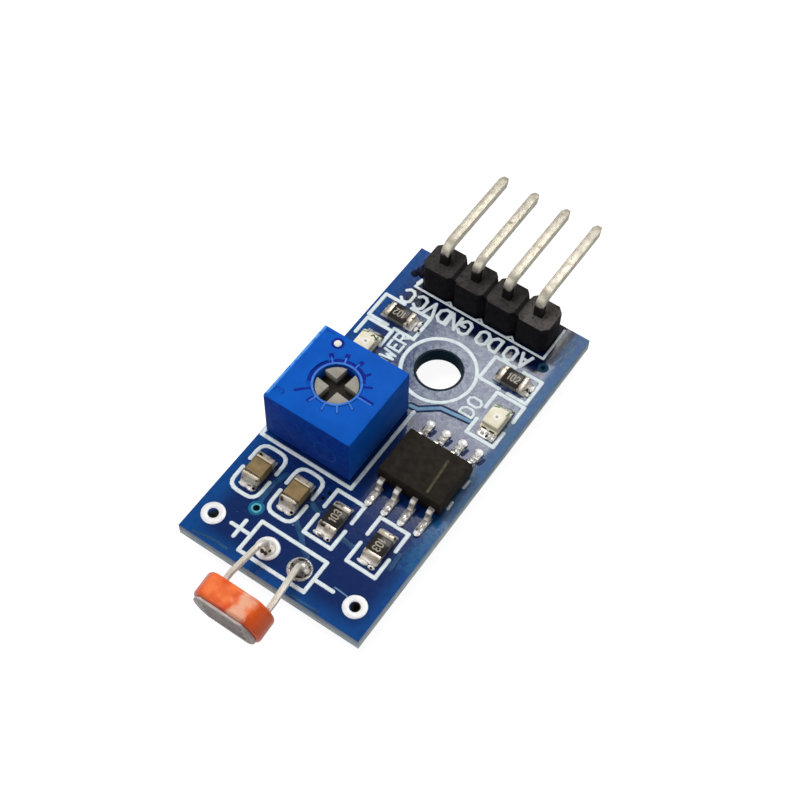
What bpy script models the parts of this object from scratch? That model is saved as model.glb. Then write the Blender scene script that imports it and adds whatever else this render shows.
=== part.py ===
"""Light sensor module: a small circuit board with a bent four-pin header, a trimmer,
a comparator, chip parts and a light sensor on two bent leads.

X runs across the board and Y along it, from the sensor end to the header end.
The module stands on the ends of its lead tails at Z = 0.
"""
import math

import bmesh
import bpy
from mathutils import Matrix

MM = 0.001
SMALLEST = 0.0005 * MM

# Clearances
SEAT_GAP = 0.02 * MM
SLIDE_GAP = 0.05 * MM
SOLDERED_GAP = 0.04 * MM

# Board
BOARD_WIDTH = 14.0 * MM
BOARD_LENGTH = 27.5 * MM
BOARD_THICKNESS = 1.0 * MM
TAIL_LENGTH = 1.4 * MM
ROW_SHIFT = -0.1 * MM
PAD_THICKNESS = 0.03 * MM

# Mounting hole and the raised landing round it
MOUNT_HOLE_RADIUS = 1.6 * MM
LANDING_BORDER = 0.85 * MM
LANDING_RISE = 0.04 * MM

# Plated test holes at the sensor end
TEST_HOLE_RADIUS = 0.38 * MM
TEST_HOLE_FROM_SIDE = 1.4 * MM
TEST_HOLE_FROM_NEAR_EDGE = 1.85 * MM

# Rows across the board, each at a share of its length from the near edge
NEAR_CHIPS_SHARE = 0.2175
COMPARATOR_SHARE = 0.4316
TRIMMER_SHARE = 0.4429
LIGHTS_SHARE = 0.6582
MOUNT_HOLE_SHARE = 0.7055
FAR_CHIPS_SHARE = 0.7818

# Header
PIN_COUNT = 4
PIN_PITCH = 2.54 * MM
PIN_SIZE = 0.64 * MM
PIN_CORNER = PIN_SIZE * math.sqrt(0.5)
PIN_RISE = 1.5 * MM
PIN_BEND = 0.75 * MM
PIN_PAST_BOARD = 5.9 * MM
PIN_TIP_LENGTH = 0.45 * MM
PIN_TIP_SHARE = 0.55
HEADER_HEIGHT = 2.5 * MM
HEADER_DEPTH = 2.5 * MM
HEADER_CHAMFER = 0.42 * MM
HEADER_ROW_FROM_FAR_EDGE = 1.7 * MM

# Solder joints of the through-hole leads
JOINT_BORDER = 0.4 * MM
JOINT_HEIGHT = 0.85 * MM
TOP_JOINT_HEIGHT = 0.3 * MM

# Trimmer housing, square seen from above
TRIMMER_FROM_LEFT_EDGE = 3.66 * MM
TRIMMER_SIDE = 6.77 * MM
TRIMMER_HEIGHT = 4.3 * MM
TRIMMER_STANDOFF = 0.1 * MM
TRIMMER_WALL = 0.48 * MM
TRIMMER_TOP_WALL = 0.95 * MM
TRIMMER_EDGE = 0.12 * MM

# Dial on the trimmer's top
DIAL_RIM = 0.28 * MM
TICK_COUNT = 11
TICK_SPAN = math.radians(270)
TICK_WIDTH = 0.15 * MM
TICK_DEPTH = 0.12 * MM
TICK_LENGTH = 0.5 * MM
LONG_TICK_LENGTH = 0.95 * MM
ARC_WIDTH = 0.15 * MM
MARKER_RADIUS = 0.25 * MM
MARKER_DEPTH = 0.2 * MM
MARKER_FROM_LEFT = 1.58 * MM
MARKER_FROM_FAR = 0.79 * MM

# Trimmer's inside
SEAL_THICKNESS = 0.75 * MM
ELEMENT_THICKNESS = 0.6 * MM
TERMINAL_RADIUS = 0.25 * MM
TERMINAL_INSET = 0.845 * MM
WIPER_PLATE = 0.15 * MM
WIPER_SPRING_HEIGHT = 0.35 * MM
WIPER_BORDER = 0.3 * MM
WIPER_CONTACT_RADIUS = 0.22 * MM
ROTOR_BORDER = 0.6 * MM
ROTOR_FLANGE = 0.83 * MM
ROTOR_RECESS = 0.18 * MM
ROTOR_TURN = math.radians(-7)
SLOT_WIDTH = 0.72 * MM
SLOT_DEPTH = 0.8 * MM
SEAL_RING_WIRE = 0.22 * MM
STOP_TAB_LENGTH = 0.36 * MM
STOP_TAB_HEIGHT = 0.45 * MM
STOP_TAB_WIDTH = 1.1 * MM
STOP_LUG_WIDTH = 2.7 * MM

# Comparator
COMPARATOR_FROM_LEFT_EDGE = 10.83 * MM
COMPARATOR_LENGTH = 4.95 * MM
COMPARATOR_WIDTH = 3.9 * MM
COMPARATOR_HEIGHT = 1.42 * MM
COMPARATOR_STANDOFF = 0.12 * MM
COMPARATOR_DRAFT = 0.1 * MM
LEADS_PER_SIDE = 4
LEAD_PITCH = 1.27 * MM
LEAD_WIDTH = 0.42 * MM
LEAD_THICKNESS = 0.2 * MM
LEAD_SHOULDER = 0.36 * MM
LEAD_SPREAD = 0.1 * MM
LEAD_FOOT = 0.62 * MM
LEAD_TOE_SOLDER = 0.6 * MM
LEAD_SOLDER_BORDER = 0.06 * MM

# Chip parts, all of one footprint
CHIP_LENGTH = 2.0 * MM
CHIP_WIDTH = 1.25 * MM
CHIP_CAP = 0.36 * MM
CHIP_SOLDER = 0.32 * MM
RESISTOR_HEIGHT = 0.5 * MM
CAPACITOR_HEIGHT = 0.85 * MM
LIGHT_WIDTH = 1.33 * MM
LIGHT_SOLDER = 0.45 * MM
LIGHT_BASE_HEIGHT = 0.35 * MM
LIGHT_LENS_HEIGHT = 0.42 * MM
LIGHT_LENS_LENGTH = 1.62 * MM
LIGHT_LENS_INSET = 0.03 * MM
LIGHT_LENS_EDGE = 0.1 * MM
FIRST_CAPACITOR_FROM_LEFT_EDGE = 1.85 * MM
SECOND_CAPACITOR_FROM_LEFT_EDGE = 4.9 * MM
FIRST_RESISTOR_FROM_LEFT_EDGE = 7.92 * MM
SECOND_RESISTOR_FROM_LEFT_EDGE = 11.38 * MM
THIRD_RESISTOR_FROM_LEFT_EDGE = 2.25 * MM
FOURTH_RESISTOR_FROM_LEFT_EDGE = 11.5 * MM
POWER_LIGHT_FROM_LEFT_EDGE = 1.68 * MM
OUTPUT_LIGHT_FROM_LEFT_EDGE = 12.3 * MM

# Light sensor
SENSOR_ROW_FROM_NEAR_EDGE = 1.9 * MM
SENSOR_PAST_BOARD = 2.11 * MM
SENSOR_AXIS_HEIGHT = 1.49 * MM
SENSOR_TILT = math.radians(8.4)
SENSOR_RADIUS = 2.5 * MM
SENSOR_FLAT = 1.9 * MM
SENSOR_DISC_THICKNESS = 1.73 * MM
SENSOR_DISC_EDGE = 0.32 * MM
SENSOR_FACE_THICKNESS = 0.18 * MM
SENSOR_FACE_BORDER = 0.2 * MM
SENSOR_LEAD_RADIUS = 0.225 * MM
SENSOR_LEAD_SPACING = 3.38 * MM
SENSOR_LEAD_DROP = 0.46 * MM
SENSOR_LEAD_HEIGHTS = (1.4 * MM, 0.72 * MM)
SENSOR_LEAD_BEND_SHARE = 0.75
SENSOR_LEAD_STRAIGHT = 0.9 * MM
SENSOR_LEAD_DEPTH = 1.1 * MM

# Heights and ends that follow from the sizes above
BOARD_TOP = TAIL_LENGTH + BOARD_THICKNESS
SENSOR_THICKNESS = SENSOR_DISC_THICKNESS + SEAT_GAP + SENSOR_FACE_THICKNESS
SENSOR_REACH = (
    SENSOR_PAST_BOARD
    + SENSOR_THICKNESS * math.cos(SENSOR_TILT)
    + (SENSOR_FLAT - SENSOR_FACE_BORDER) * math.sin(SENSOR_TILT)
)
NEAR_EDGE = -(SENSOR_REACH + BOARD_LENGTH + PIN_PAST_BOARD) / 2 + SENSOR_REACH
FAR_EDGE = NEAR_EDGE + BOARD_LENGTH
LEFT_EDGE = -BOARD_WIDTH / 2
HEADER_ROW = FAR_EDGE - HEADER_ROW_FROM_FAR_EDGE
SENSOR_ROW = NEAR_EDGE + SENSOR_ROW_FROM_NEAR_EDGE
PIN_HOLE_RADIUS = PIN_CORNER + SOLDERED_GAP
TRIMMER_X = LEFT_EDGE + TRIMMER_FROM_LEFT_EDGE
TRIMMER_Y = NEAR_EDGE + BOARD_LENGTH * TRIMMER_SHARE

# Heights inside the trimmer, from the board up and from the housing's top down
TRIMMER_BOTTOM = BOARD_TOP + TRIMMER_STANDOFF
TRIMMER_TOP = TRIMMER_BOTTOM + TRIMMER_HEIGHT
TRIMMER_CEILING = TRIMMER_TOP - TRIMMER_TOP_WALL
SEAL_TOP = TRIMMER_BOTTOM + SEAL_THICKNESS
ELEMENT_TOP = SEAL_TOP + SEAT_GAP + ELEMENT_THICKNESS
WIPER_TOP = ELEMENT_TOP + SEAT_GAP + WIPER_SPRING_HEIGHT + WIPER_PLATE
FLANGE_BOTTOM = WIPER_TOP + SEAT_GAP
FLANGE_TOP = TRIMMER_CEILING - 2 * SEAT_GAP - 2 * SEAL_RING_WIRE
ROTOR_TOP = TRIMMER_TOP - ROTOR_RECESS
CAVITY_SIDE = TRIMMER_SIDE - 2 * TRIMMER_WALL
ROTOR_RADIUS = CAVITY_SIDE / 2 - ROTOR_BORDER
WIPER_RADIUS = ROTOR_RADIUS - WIPER_BORDER
DIAL_OPENING_RADIUS = ROTOR_RADIUS - ROTOR_FLANGE
STEM_RADIUS = DIAL_OPENING_RADIUS - SLIDE_GAP
TERMINAL_REACH = TRIMMER_SIDE / 2 - TERMINAL_INSET
TERMINAL_PLACES = (
    (-TERMINAL_REACH, TERMINAL_REACH),
    (TERMINAL_REACH, 0.0),
    (-TERMINAL_REACH, -TERMINAL_REACH),
)

ROUND_STEPS = 48
HOLE_STEPS = 20
WIRE_STEPS = 16
BEND_STEPS = 6

module = bpy.data.collections.new("light_sensor_module")
cutters = bpy.data.collections.new("cutters")


def clear_scene():
    """Remove whatever the file opened with and link the two collections."""
    for thing in list(bpy.data.objects):
        bpy.data.objects.remove(thing, do_unlink=True)
    bpy.context.scene.collection.children.link(module)
    bpy.context.scene.collection.children.link(cutters)


def make_material(name, colour, roughness, metallic=0.0, alpha=1.0):
    """A plain surface with the piece's colour."""
    made = bpy.data.materials.new(name)
    made.use_nodes = True
    shader = made.node_tree.nodes["Principled BSDF"]
    shader.inputs["Base Color"].default_value = (*colour, 1.0)
    shader.inputs["Roughness"].default_value = roughness
    shader.inputs["Metallic"].default_value = metallic
    shader.inputs["Alpha"].default_value = alpha
    return made


def add_object(name, data, place=(0, 0, 0), turn=(0, 0, 0), collection=module):
    """Link a mesh or a curve under this name."""
    made = bpy.data.objects.new(name, data)
    made.location = place
    made.rotation_euler = turn
    collection.objects.link(made)
    return made


def finish(thing, surface):
    """Give a piece its material and smooth shading with sharp edges kept."""
    thing.data.materials.clear()
    thing.data.materials.append(surface)
    thing.data.shade_smooth()
    thing.data.set_sharp_from_angle(angle=math.radians(30))
    return thing


def hide_cutter(thing):
    """A cutter or a guide shows as a wire and isn't part of the model."""
    thing.hide_render = True
    thing.display_type = "WIRE"
    return thing


def baked_mesh(thing):
    """The evaluated mesh of an object, welded; the object itself is removed."""
    graph = bpy.context.evaluated_depsgraph_get()
    mesh = bpy.data.meshes.new_from_object(thing.evaluated_get(graph), depsgraph=graph)
    mesh.name = thing.name
    bpy.data.objects.remove(thing, do_unlink=True)
    work = bmesh.new()
    work.from_mesh(mesh)
    bmesh.ops.remove_doubles(work, verts=work.verts, dist=SMALLEST)
    bmesh.ops.recalc_face_normals(work, faces=work.faces)
    work.to_mesh(mesh)
    work.free()
    return mesh


def box_mesh(name, width, depth, height):
    """A box on the XY plane, centred on Z."""
    mesh = bpy.data.meshes.new(name)
    work = bmesh.new()
    size = Matrix.Diagonal((width, depth, height, 1))
    bmesh.ops.create_cube(work, size=1, matrix=Matrix.Translation((0, 0, height / 2)) @ size)
    work.to_mesh(mesh)
    work.free()
    return mesh


def drums_mesh(name, drums, steps):
    """Upright cylinders that stand apart, each given as x, y, radius, bottom and top."""
    mesh = bpy.data.meshes.new(name)
    work = bmesh.new()
    for x, y, radius, bottom, top in drums:
        bmesh.ops.create_cone(
            work,
            cap_ends=True,
            segments=steps,
            radius1=radius,
            radius2=radius,
            depth=top - bottom,
            matrix=Matrix.Translation((x, y, (bottom + top) / 2)),
        )
    work.to_mesh(mesh)
    work.free()
    return mesh


def turned_mesh(name, profile, steps):
    """A profile of radius and height, from the top down its outer side, turned about Z."""
    line = bpy.data.meshes.new(name)
    points = [(radius, 0, height) for radius, height in profile]
    edges = [(i, i + 1) for i in range(len(points) - 1)]
    line.from_pydata(points, edges, [])
    made = add_object(name, line, collection=cutters)
    screw = made.modifiers.new("turn", "SCREW")
    screw.axis = "Z"
    screw.steps = steps
    screw.render_steps = steps
    screw.use_merge_vertices = True
    screw.merge_threshold = SMALLEST
    return baked_mesh(made)


def flat_mesh(name, outlines, thickness):
    """A flat outline, with any holes in it, made solid evenly to both sides of its plane."""
    curve = bpy.data.curves.new(name, "CURVE")
    curve.dimensions = "2D"
    curve.fill_mode = "BOTH"
    curve.extrude = thickness / 2
    for outline in outlines:
        spline = curve.splines.new("POLY")
        spline.points.add(len(outline) - 1)
        for point, (x, y) in zip(spline.points, outline):
            point.co = (x, y, 0, 1)
        spline.use_cyclic_u = True
    return baked_mesh(add_object(name, curve, collection=cutters))


def wire_mesh(name, path, radius, resolution, tilt=0.0, tip_share=1.0):
    """A wire with filled ends along a path; its last point can be drawn to a smaller tip."""
    curve = bpy.data.curves.new(name, "CURVE")
    curve.dimensions = "3D"
    curve.bevel_depth = radius
    curve.bevel_resolution = resolution
    curve.use_fill_caps = True
    spline = curve.splines.new("POLY")
    spline.points.add(len(path) - 1)
    for point, place in zip(spline.points, path):
        point.co = (*place, 1)
        point.tilt = tilt
    spline.points[-1].radius = tip_share
    return baked_mesh(add_object(name, curve, collection=cutters))


def arc(centre_x, centre_y, radius, start, end, steps):
    """Points along an arc, both ends included."""
    angles = [start + (end - start) * i / steps for i in range(steps + 1)]
    return [(centre_x + radius * math.cos(a), centre_y + radius * math.sin(a)) for a in angles]


def with_modifier(thing, operation, other):
    """Join another solid to a piece, or cut it out of the piece."""
    change = thing.modifiers.new(operation.lower(), "BOOLEAN")
    change.operation = operation
    change.solver = "EXACT"
    change.object = hide_cutter(other)
    return thing


def joined_mesh(name, first, *others):
    """One closed mesh from solids that overlap."""
    made = add_object(name, first, collection=cutters)
    helpers = [add_object(name + "_joined", other, collection=cutters) for other in others]
    for helper in helpers:
        with_modifier(made, "UNION", helper)
    mesh = baked_mesh(made)
    for helper in helpers:
        bpy.data.objects.remove(helper, do_unlink=True)
    return mesh


def lead_joint(name, x, y, hole_radius, lead_radius):
    """The solder cone under the board round a lead at x and y."""
    top = TAIL_LENGTH - SEAT_GAP
    bottom = top - JOINT_HEIGHT
    border = hole_radius + JOINT_BORDER
    profile = [(0, top), (border, top), (lead_radius * 1.15, bottom), (0, bottom)]
    mesh = turned_mesh(name, profile, WIRE_STEPS)
    mesh.transform(Matrix.Translation((x, y, 0)))
    return mesh


def header_columns():
    """The X place of each header pin."""
    first = ROW_SHIFT - PIN_PITCH * (PIN_COUNT - 1) / 2
    return [first + i * PIN_PITCH for i in range(PIN_COUNT)]


def sensor_columns():
    """The X place of each sensor lead at the board."""
    return [ROW_SHIFT - PIN_PITCH / 2, ROW_SHIFT + PIN_PITCH / 2]


def build_board(surface):
    """The cut board with its landing, mounting hole, test holes and lead holes."""
    board = add_object("board", box_mesh("board", BOARD_WIDTH, BOARD_LENGTH, BOARD_THICKNESS))
    board.location = (0, (NEAR_EDGE + FAR_EDGE) / 2, TAIL_LENGTH)
    hole_y = NEAR_EDGE + BOARD_LENGTH * MOUNT_HOLE_SHARE
    low = TAIL_LENGTH - LANDING_RISE
    high = BOARD_TOP + LANDING_RISE
    landing_radius = MOUNT_HOLE_RADIUS + LANDING_BORDER
    landing = drums_mesh("landing", [(ROW_SHIFT, hole_y, landing_radius, low, high)], ROUND_STEPS)
    with_modifier(board, "UNION", add_object("landing", landing, collection=cutters))

    under = low - LANDING_RISE
    over = high + LANDING_RISE
    mount = drums_mesh("mount_hole", [(ROW_SHIFT, hole_y, MOUNT_HOLE_RADIUS, under, over)], ROUND_STEPS)
    with_modifier(board, "DIFFERENCE", add_object("mount_hole", mount, collection=cutters))

    test_y = NEAR_EDGE + TEST_HOLE_FROM_NEAR_EDGE
    test_x = BOARD_WIDTH / 2 - TEST_HOLE_FROM_SIDE
    holes = [(side * test_x, test_y, TEST_HOLE_RADIUS, under, over) for side in (-1, 1)]
    holes += [(x, HEADER_ROW, PIN_HOLE_RADIUS, under, over) for x in header_columns()]
    sensor_hole = SENSOR_LEAD_RADIUS + SOLDERED_GAP
    holes += [(x, SENSOR_ROW, sensor_hole, under, over) for x in sensor_columns()]
    terminal_hole = TERMINAL_RADIUS + SOLDERED_GAP
    for x, y in TERMINAL_PLACES:
        holes.append((TRIMMER_X + x, TRIMMER_Y + y, terminal_hole, under, over))
    lead_holes = drums_mesh("lead_holes", holes, HOLE_STEPS)
    with_modifier(board, "DIFFERENCE", add_object("lead_holes", lead_holes, collection=cutters))
    finish(board, surface)


def build_header(plastic, plating):
    """The moulded housing of four blocks, and its bent pins."""
    half = HEADER_DEPTH / 2
    half_block = PIN_PITCH / 2
    front = []
    for x in header_columns():
        front += [
            (x - half_block, HEADER_CHAMFER - half),
            (x - half_block + HEADER_CHAMFER, -half),
            (x + half_block - HEADER_CHAMFER, -half),
        ]
    front.append((header_columns()[-1] + half_block, HEADER_CHAMFER - half))
    back = [(x, -y) for x, y in reversed(front)]
    hole = PIN_SIZE / 2 + SEAT_GAP
    holes = [
        [(x - hole, -hole), (x - hole, hole), (x + hole, hole), (x + hole, -hole)]
        for x in header_columns()
    ]
    mesh = flat_mesh("header_housing", [front + back, *holes], HEADER_HEIGHT)
    middle = BOARD_TOP + SEAT_GAP + HEADER_HEIGHT / 2
    finish(add_object("header_housing", mesh, (0, HEADER_ROW, middle)), plastic)

    run_height = BOARD_TOP + SEAT_GAP + HEADER_HEIGHT + PIN_RISE
    tip_y = FAR_EDGE + PIN_PAST_BOARD
    bend = arc(HEADER_ROW + PIN_BEND, run_height - PIN_BEND, PIN_BEND, math.pi, math.pi / 2, BEND_STEPS)
    path = [(HEADER_ROW, 0.0), *bend, (tip_y - PIN_TIP_LENGTH, run_height), (tip_y, run_height)]
    for number, x in enumerate(header_columns(), start=1):
        name = f"header_pin_{number}"
        pin = wire_mesh(
            name,
            [(x, y, z) for y, z in path],
            PIN_CORNER,
            0,
            tilt=math.pi / 4,
            tip_share=PIN_TIP_SHARE,
        )
        joint = lead_joint(name, x, HEADER_ROW, PIN_HOLE_RADIUS, PIN_CORNER)
        finish(add_object(name, joined_mesh(name, joint, pin)), plating)


def tick_outline(angle, length):
    """One tick mark as a narrow bar that starts at the dial's rim."""
    start = DIAL_OPENING_RADIUS + DIAL_RIM / 2
    end = DIAL_OPENING_RADIUS + DIAL_RIM + length
    half = TICK_WIDTH / 2
    corners = [(start, -half), (end, -half), (end, half), (start, half)]
    cosine = math.cos(angle)
    sine = math.sin(angle)
    return [(x * cosine - y * sine, x * sine + y * cosine) for x, y in corners]


def dial_marks_mesh():
    """Cutter for the tick marks, the long ones at the first end and the middle."""
    outlines = []
    for i in range(TICK_COUNT):
        angle = TICK_SPAN * (i / (TICK_COUNT - 1) - 0.5)
        long_one = i in (0, TICK_COUNT // 2)
        outlines.append(tick_outline(angle, LONG_TICK_LENGTH if long_one else TICK_LENGTH))
    return flat_mesh("dial_ticks", outlines, 2 * TICK_DEPTH)


def dial_arc_mesh():
    """Cutter for the plain arc between the last tick and the first."""
    inner = DIAL_OPENING_RADIUS + DIAL_RIM + SLIDE_GAP
    start = TICK_SPAN / 2 + math.radians(8)
    end = 2 * math.pi - start
    steps = 2 * BEND_STEPS
    outline = arc(0, 0, inner, start, end, steps)
    outline += reversed(arc(0, 0, inner + ARC_WIDTH, start, end, steps))
    return flat_mesh("dial_arc", [outline], 2 * TICK_DEPTH)


def build_trimmer_housing(surface):
    """The moulded cup, open below, with its dial opening, marks and stop lug."""
    name = "trimmer_housing"
    shell = box_mesh(name, TRIMMER_SIDE, TRIMMER_SIDE, TRIMMER_HEIGHT)
    housing = add_object(name, shell, (TRIMMER_X, TRIMMER_Y, TRIMMER_BOTTOM))
    edge = housing.modifiers.new("edges", "BEVEL")
    edge.width = TRIMMER_EDGE
    edge.segments = 2
    below = TRIMMER_BOTTOM - TRIMMER_EDGE
    cavity = box_mesh("trimmer_cavity", CAVITY_SIDE, CAVITY_SIDE, TRIMMER_CEILING - below)
    place = (TRIMMER_X, TRIMMER_Y, below)
    with_modifier(housing, "DIFFERENCE", add_object("trimmer_cavity", cavity, place, collection=cutters))

    rim = DIAL_OPENING_RADIUS + DIAL_RIM
    above = TRIMMER_TOP + DIAL_RIM
    profile = [
        (0, above),
        (rim + DIAL_RIM, above),
        (DIAL_OPENING_RADIUS, TRIMMER_TOP - DIAL_RIM),
        (DIAL_OPENING_RADIUS, TRIMMER_CEILING - TRIMMER_EDGE),
        (0, TRIMMER_CEILING - TRIMMER_EDGE),
    ]
    opening = turned_mesh("dial_opening", profile, ROUND_STEPS)
    centre = (TRIMMER_X, TRIMMER_Y, 0)
    with_modifier(housing, "DIFFERENCE", add_object("dial_opening", opening, centre, collection=cutters))

    marker_x = MARKER_FROM_LEFT - TRIMMER_SIDE / 2
    marker_y = TRIMMER_SIDE / 2 - MARKER_FROM_FAR
    top = TRIMMER_TOP
    drum = (marker_x, marker_y, MARKER_RADIUS, top - MARKER_DEPTH, top + MARKER_DEPTH)
    marker = drums_mesh("dial_marker", [drum], HOLE_STEPS)
    with_modifier(housing, "DIFFERENCE", add_object("dial_marker", marker, centre, collection=cutters))
    for name, mesh in (("dial_ticks", dial_marks_mesh()), ("dial_arc", dial_arc_mesh())):
        marks = add_object(name, mesh, (TRIMMER_X, TRIMMER_Y, top), collection=cutters)
        with_modifier(housing, "DIFFERENCE", marks)

    reach = ROTOR_BORDER - SLIDE_GAP
    drop = TRIMMER_CEILING - FLANGE_BOTTOM
    lug = box_mesh("stop_lug", reach + TRIMMER_WALL / 2, STOP_LUG_WIDTH, drop + TRIMMER_TOP_WALL / 2)
    lug_x = TRIMMER_X - CAVITY_SIDE / 2 + (reach - TRIMMER_WALL / 2) / 2
    lug_object = add_object("stop_lug", lug, (lug_x, TRIMMER_Y, FLANGE_BOTTOM), collection=cutters)
    with_modifier(housing, "UNION", lug_object)
    finish(housing, surface)


def build_rotor(plastic, metal):
    """The rotor with its cross recess and stop tab, and the wiper under it."""
    centre = (TRIMMER_X, TRIMMER_Y, 0)
    turn = (0, 0, ROTOR_TURN)
    profile = [
        (0, ROTOR_TOP),
        (STEM_RADIUS, ROTOR_TOP),
        (STEM_RADIUS, FLANGE_TOP),
        (ROTOR_RADIUS, FLANGE_TOP),
        (ROTOR_RADIUS, FLANGE_BOTTOM),
        (0, FLANGE_BOTTOM),
    ]
    body = turned_mesh("trimmer_rotor", profile, ROUND_STEPS)
    rotor = add_object("trimmer_rotor", body, centre, turn)
    tab = box_mesh("stop_tab", ROTOR_RADIUS / 2 + STOP_TAB_LENGTH, STOP_TAB_WIDTH, STOP_TAB_HEIGHT)
    tab_x = ROTOR_RADIUS * 0.75 + STOP_TAB_LENGTH / 2
    tab_z = (FLANGE_BOTTOM + FLANGE_TOP - STOP_TAB_HEIGHT) / 2
    tab.transform(Matrix.Translation((tab_x, 0, tab_z)))
    with_modifier(rotor, "UNION", add_object("stop_tab", tab, centre, turn, collection=cutters))
    slot = box_mesh("slot", 2 * ROTOR_RADIUS, SLOT_WIDTH, 2 * SLOT_DEPTH)
    slot_place = (TRIMMER_X, TRIMMER_Y, ROTOR_TOP - SLOT_DEPTH)
    for quarter in (0.0, math.pi / 2):
        slot_turn = (0, 0, ROTOR_TURN + quarter)
        bar = add_object("slot", slot, slot_place, slot_turn, collection=cutters)
        with_modifier(rotor, "DIFFERENCE", bar)
    finish(rotor, plastic)

    plate_bottom = WIPER_TOP - WIPER_PLATE
    contact_bottom = ELEMENT_TOP + SEAT_GAP
    middle = plate_bottom + WIPER_PLATE / 2
    reach = WIPER_RADIUS - WIPER_CONTACT_RADIUS
    contacts = [(x, 0, WIPER_CONTACT_RADIUS, contact_bottom, middle) for x in (0, reach)]
    plate = drums_mesh("wiper", [(0, 0, WIPER_RADIUS, plate_bottom, WIPER_TOP)], ROUND_STEPS)
    mesh = joined_mesh("trimmer_wiper", plate, drums_mesh("contacts", contacts, WIRE_STEPS))
    finish(add_object("trimmer_wiper", mesh, centre, turn), metal)


def build_trimmer_base(ceramic, resin, rubber, plating):
    """The seal ring, element, bottom seal and terminals, which all stay with the housing."""
    bpy.ops.mesh.primitive_torus_add(
        location=(TRIMMER_X, TRIMMER_Y, FLANGE_TOP + SEAT_GAP + SEAL_RING_WIRE),
        major_radius=STEM_RADIUS + SLIDE_GAP + SEAL_RING_WIRE,
        minor_radius=SEAL_RING_WIRE,
        major_segments=ROUND_STEPS // 2,
        minor_segments=BEND_STEPS + 2,
    )
    ring = bpy.context.object
    ring.name = "trimmer_seal_ring"
    for holder in list(ring.users_collection):
        holder.objects.unlink(ring)
    module.objects.link(ring)
    finish(ring, rubber)

    layers = (
        ("trimmer_bottom_seal", TRIMMER_BOTTOM, SEAL_THICKNESS, resin),
        ("trimmer_element", SEAL_TOP + SEAT_GAP, ELEMENT_THICKNESS, ceramic),
    )
    side = CAVITY_SIDE - 2 * SEAT_GAP
    for name, bottom, thickness, surface in layers:
        layer = add_object(name, box_mesh(name, side, side, thickness), (TRIMMER_X, TRIMMER_Y, bottom))
        holes = [(x, y, TERMINAL_RADIUS + SEAT_GAP, -thickness, 2 * thickness) for x, y in TERMINAL_PLACES]
        drums = drums_mesh(name + "_holes", holes, WIRE_STEPS)
        place = (TRIMMER_X, TRIMMER_Y, bottom)
        with_modifier(layer, "DIFFERENCE", add_object(name + "_holes", drums, place, collection=cutters))
        finish(layer, surface)

    joint_top = TAIL_LENGTH - SEAT_GAP
    joint_bottom = joint_top - JOINT_HEIGHT
    border = TERMINAL_RADIUS + SOLDERED_GAP + JOINT_BORDER
    profile = [
        (0, ELEMENT_TOP),
        (TERMINAL_RADIUS, ELEMENT_TOP),
        (TERMINAL_RADIUS, joint_top),
        (border, joint_top),
        (TERMINAL_RADIUS, joint_bottom),
        (TERMINAL_RADIUS, 0),
        (0, 0),
    ]
    terminal = turned_mesh("trimmer_terminal", profile, WIRE_STEPS)
    for number, (x, y) in enumerate(TERMINAL_PLACES, start=1):
        place = (TRIMMER_X + x, TRIMMER_Y + y, 0)
        finish(add_object(f"trimmer_terminal_{number}", terminal, place), plating)


def lead_mesh():
    """One bent comparator lead with its solder; X runs outwards from the package's side."""
    half = LEAD_THICKNESS / 2
    shoulder = COMPARATOR_STANDOFF + COMPARATOR_HEIGHT / 2 - PAD_THICKNESS
    path = [
        (SEAT_GAP, shoulder),
        (LEAD_SHOULDER - half, shoulder),
        (LEAD_SHOULDER + half / 2, shoulder - half),
        (LEAD_SHOULDER + LEAD_SPREAD, LEAD_THICKNESS + half),
        (LEAD_SHOULDER + LEAD_SPREAD + LEAD_THICKNESS, half),
        (LEAD_SHOULDER + LEAD_SPREAD + LEAD_FOOT, half),
    ]
    upper = []
    lower = []
    for i, (x, z) in enumerate(path):
        before = path[max(i - 1, 0)]
        after = path[min(i + 1, len(path) - 1)]
        run = math.hypot(after[0] - before[0], after[1] - before[1])
        side_x = (before[1] - after[1]) / run * half
        side_z = (after[0] - before[0]) / run * half
        upper.append((x + side_x, z + side_z))
        lower.append((x - side_x, z - side_z))
    strip = flat_mesh("lead_strip", [lower + upper[::-1]], LEAD_WIDTH)
    foot_start = LEAD_SHOULDER + LEAD_SPREAD
    foot_end = foot_start + LEAD_FOOT
    solder = [
        (foot_start - LEAD_THICKNESS, 0),
        (foot_end + LEAD_TOE_SOLDER, 0),
        (foot_end + LEAD_TOE_SOLDER / 2, half * 0.7),
        (foot_end, LEAD_THICKNESS * 1.1),
        (foot_end - LEAD_THICKNESS, half * 1.2),
        (foot_start + LEAD_THICKNESS / 2, half * 1.2),
        (foot_start - LEAD_THICKNESS * 0.3, LEAD_THICKNESS),
    ]
    joint = flat_mesh("lead_solder", [solder], LEAD_WIDTH + 2 * LEAD_SOLDER_BORDER)
    return joined_mesh("comparator_lead", joint, strip)


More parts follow.
